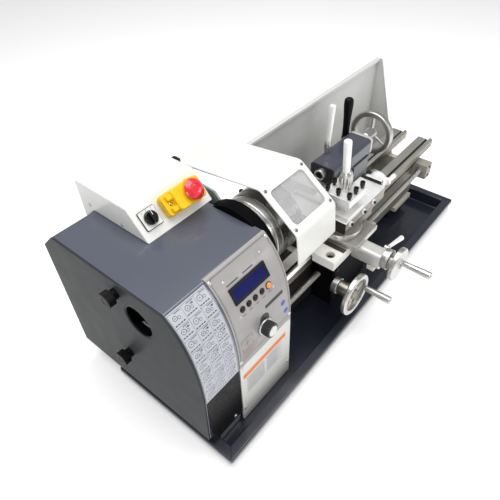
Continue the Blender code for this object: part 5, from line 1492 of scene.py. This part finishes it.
def floor():
    data = bpy.data.meshes.new("floor")
    stage = bmesh.new()
    size = 14.0
    stage.faces.new([stage.verts.new((x, y, -0.0005)) for x, y in ((-size, -size), (size, -size),
                                                                   (size, size), (-size, size))])
    stage.to_mesh(data)
    stage.free()
    made = bpy.data.objects.new("floor", data)
    bpy.context.scene.collection.objects.link(made)
    g = Graph("floor_paper", (0.93, 0.93, 0.93), 0.7, Emission_Color=(1.0, 1.0, 1.0, 1.0),
              Emission_Strength=0.30)
    g.paint_with(g.mix(g.spread(g.noise(3.0), 0.0, 0.15), (0.93, 0.93, 0.93), (0.90, 0.90, 0.905)))
    data.materials.append(g.material)


def area_light(name, place, aim, size, power):
    data = bpy.data.lights.new(name, "AREA")
    data.shape = "RECTANGLE"
    data.size, data.size_y = size
    data.energy = power
    made = bpy.data.objects.new(name, data)
    made.location = place
    made.rotation_euler = (Vector(aim) - Vector(place)).to_track_quat("-Z", "Y").to_euler()
    bpy.context.scene.collection.objects.link(made)


def studio():
    world = bpy.data.worlds.new("studio")
    world.use_nodes = True
    background = world.node_tree.nodes["Background"]
    background.inputs["Color"].default_value = (1.0, 1.0, 1.0, 1.0)
    background.inputs["Strength"].default_value = 0.36
    bpy.context.scene.world = world
    centre = (0.0, 0.0, 0.15)
    area_light("key_top", (-0.1, 0.0, 2.1), centre, (2.2, 1.8), 44.0)
    area_light("side_left", (-2.0, -0.9, 1.0), centre, (0.8, 1.0), 9.0)
    area_light("front_right", (0.9, -1.9, 1.0), centre, (1.0, 0.8), 8.0)
    scene = bpy.context.scene
    scene.view_settings.view_transform = "Standard"
    scene.view_settings.look = "None"


def camera():
    data = bpy.data.cameras.new("camera")
    data.sensor_width = 36.0
    data.lens = 34.524
    data.shift_x = -0.0178
    data.shift_y = 0.0024
    data.clip_start = 0.02
    made = bpy.data.objects.new("camera", data)
    right = Vector((0.6311997, -0.7752829, -0.0228757))
    down = Vector((-0.5457764, -0.4230034, -0.7233230))
    forward = Vector((0.5511035, 0.4690463, -0.6901308))
    turn = Matrix((right, -down, -forward)).transposed().to_4x4()
    made.matrix_world = Matrix.Translation((-0.63430, -0.38625, 0.79364)) @ turn
    bpy.context.scene.collection.objects.link(made)
    bpy.context.scene.camera = made


def build():
    camera()
    studio()
    floor()
    chip_tray()
    splash_guard()
    rear_louvres()
    bed()
    headstock_cover()
    cover_knob("cover_knob_upper")
    cover_knob("cover_knob_lower")
    gear_chart()
    control_panel()
    panel_prints()
    panel_screws()
    display()
    panel_buttons()
    speed_knob()
    headstock_casting()
    drive()
    chuck()
    chuck_guard()
    guard_bracket()
    switch_box()
    direction_switch()
    emergency_stop()
    leadscrew()
    saddle()
    apron_wheel()
    spun_handle("apron_handle")
    cross_feed()
    spun_handle("cross_handle")
    feed_lever()
    cross_slide()
    compound()
    toolpost()
    toolpost_lever()
    tailstock()
    quill()
    tailstock_wheel()
    tailstock_levers()


build()
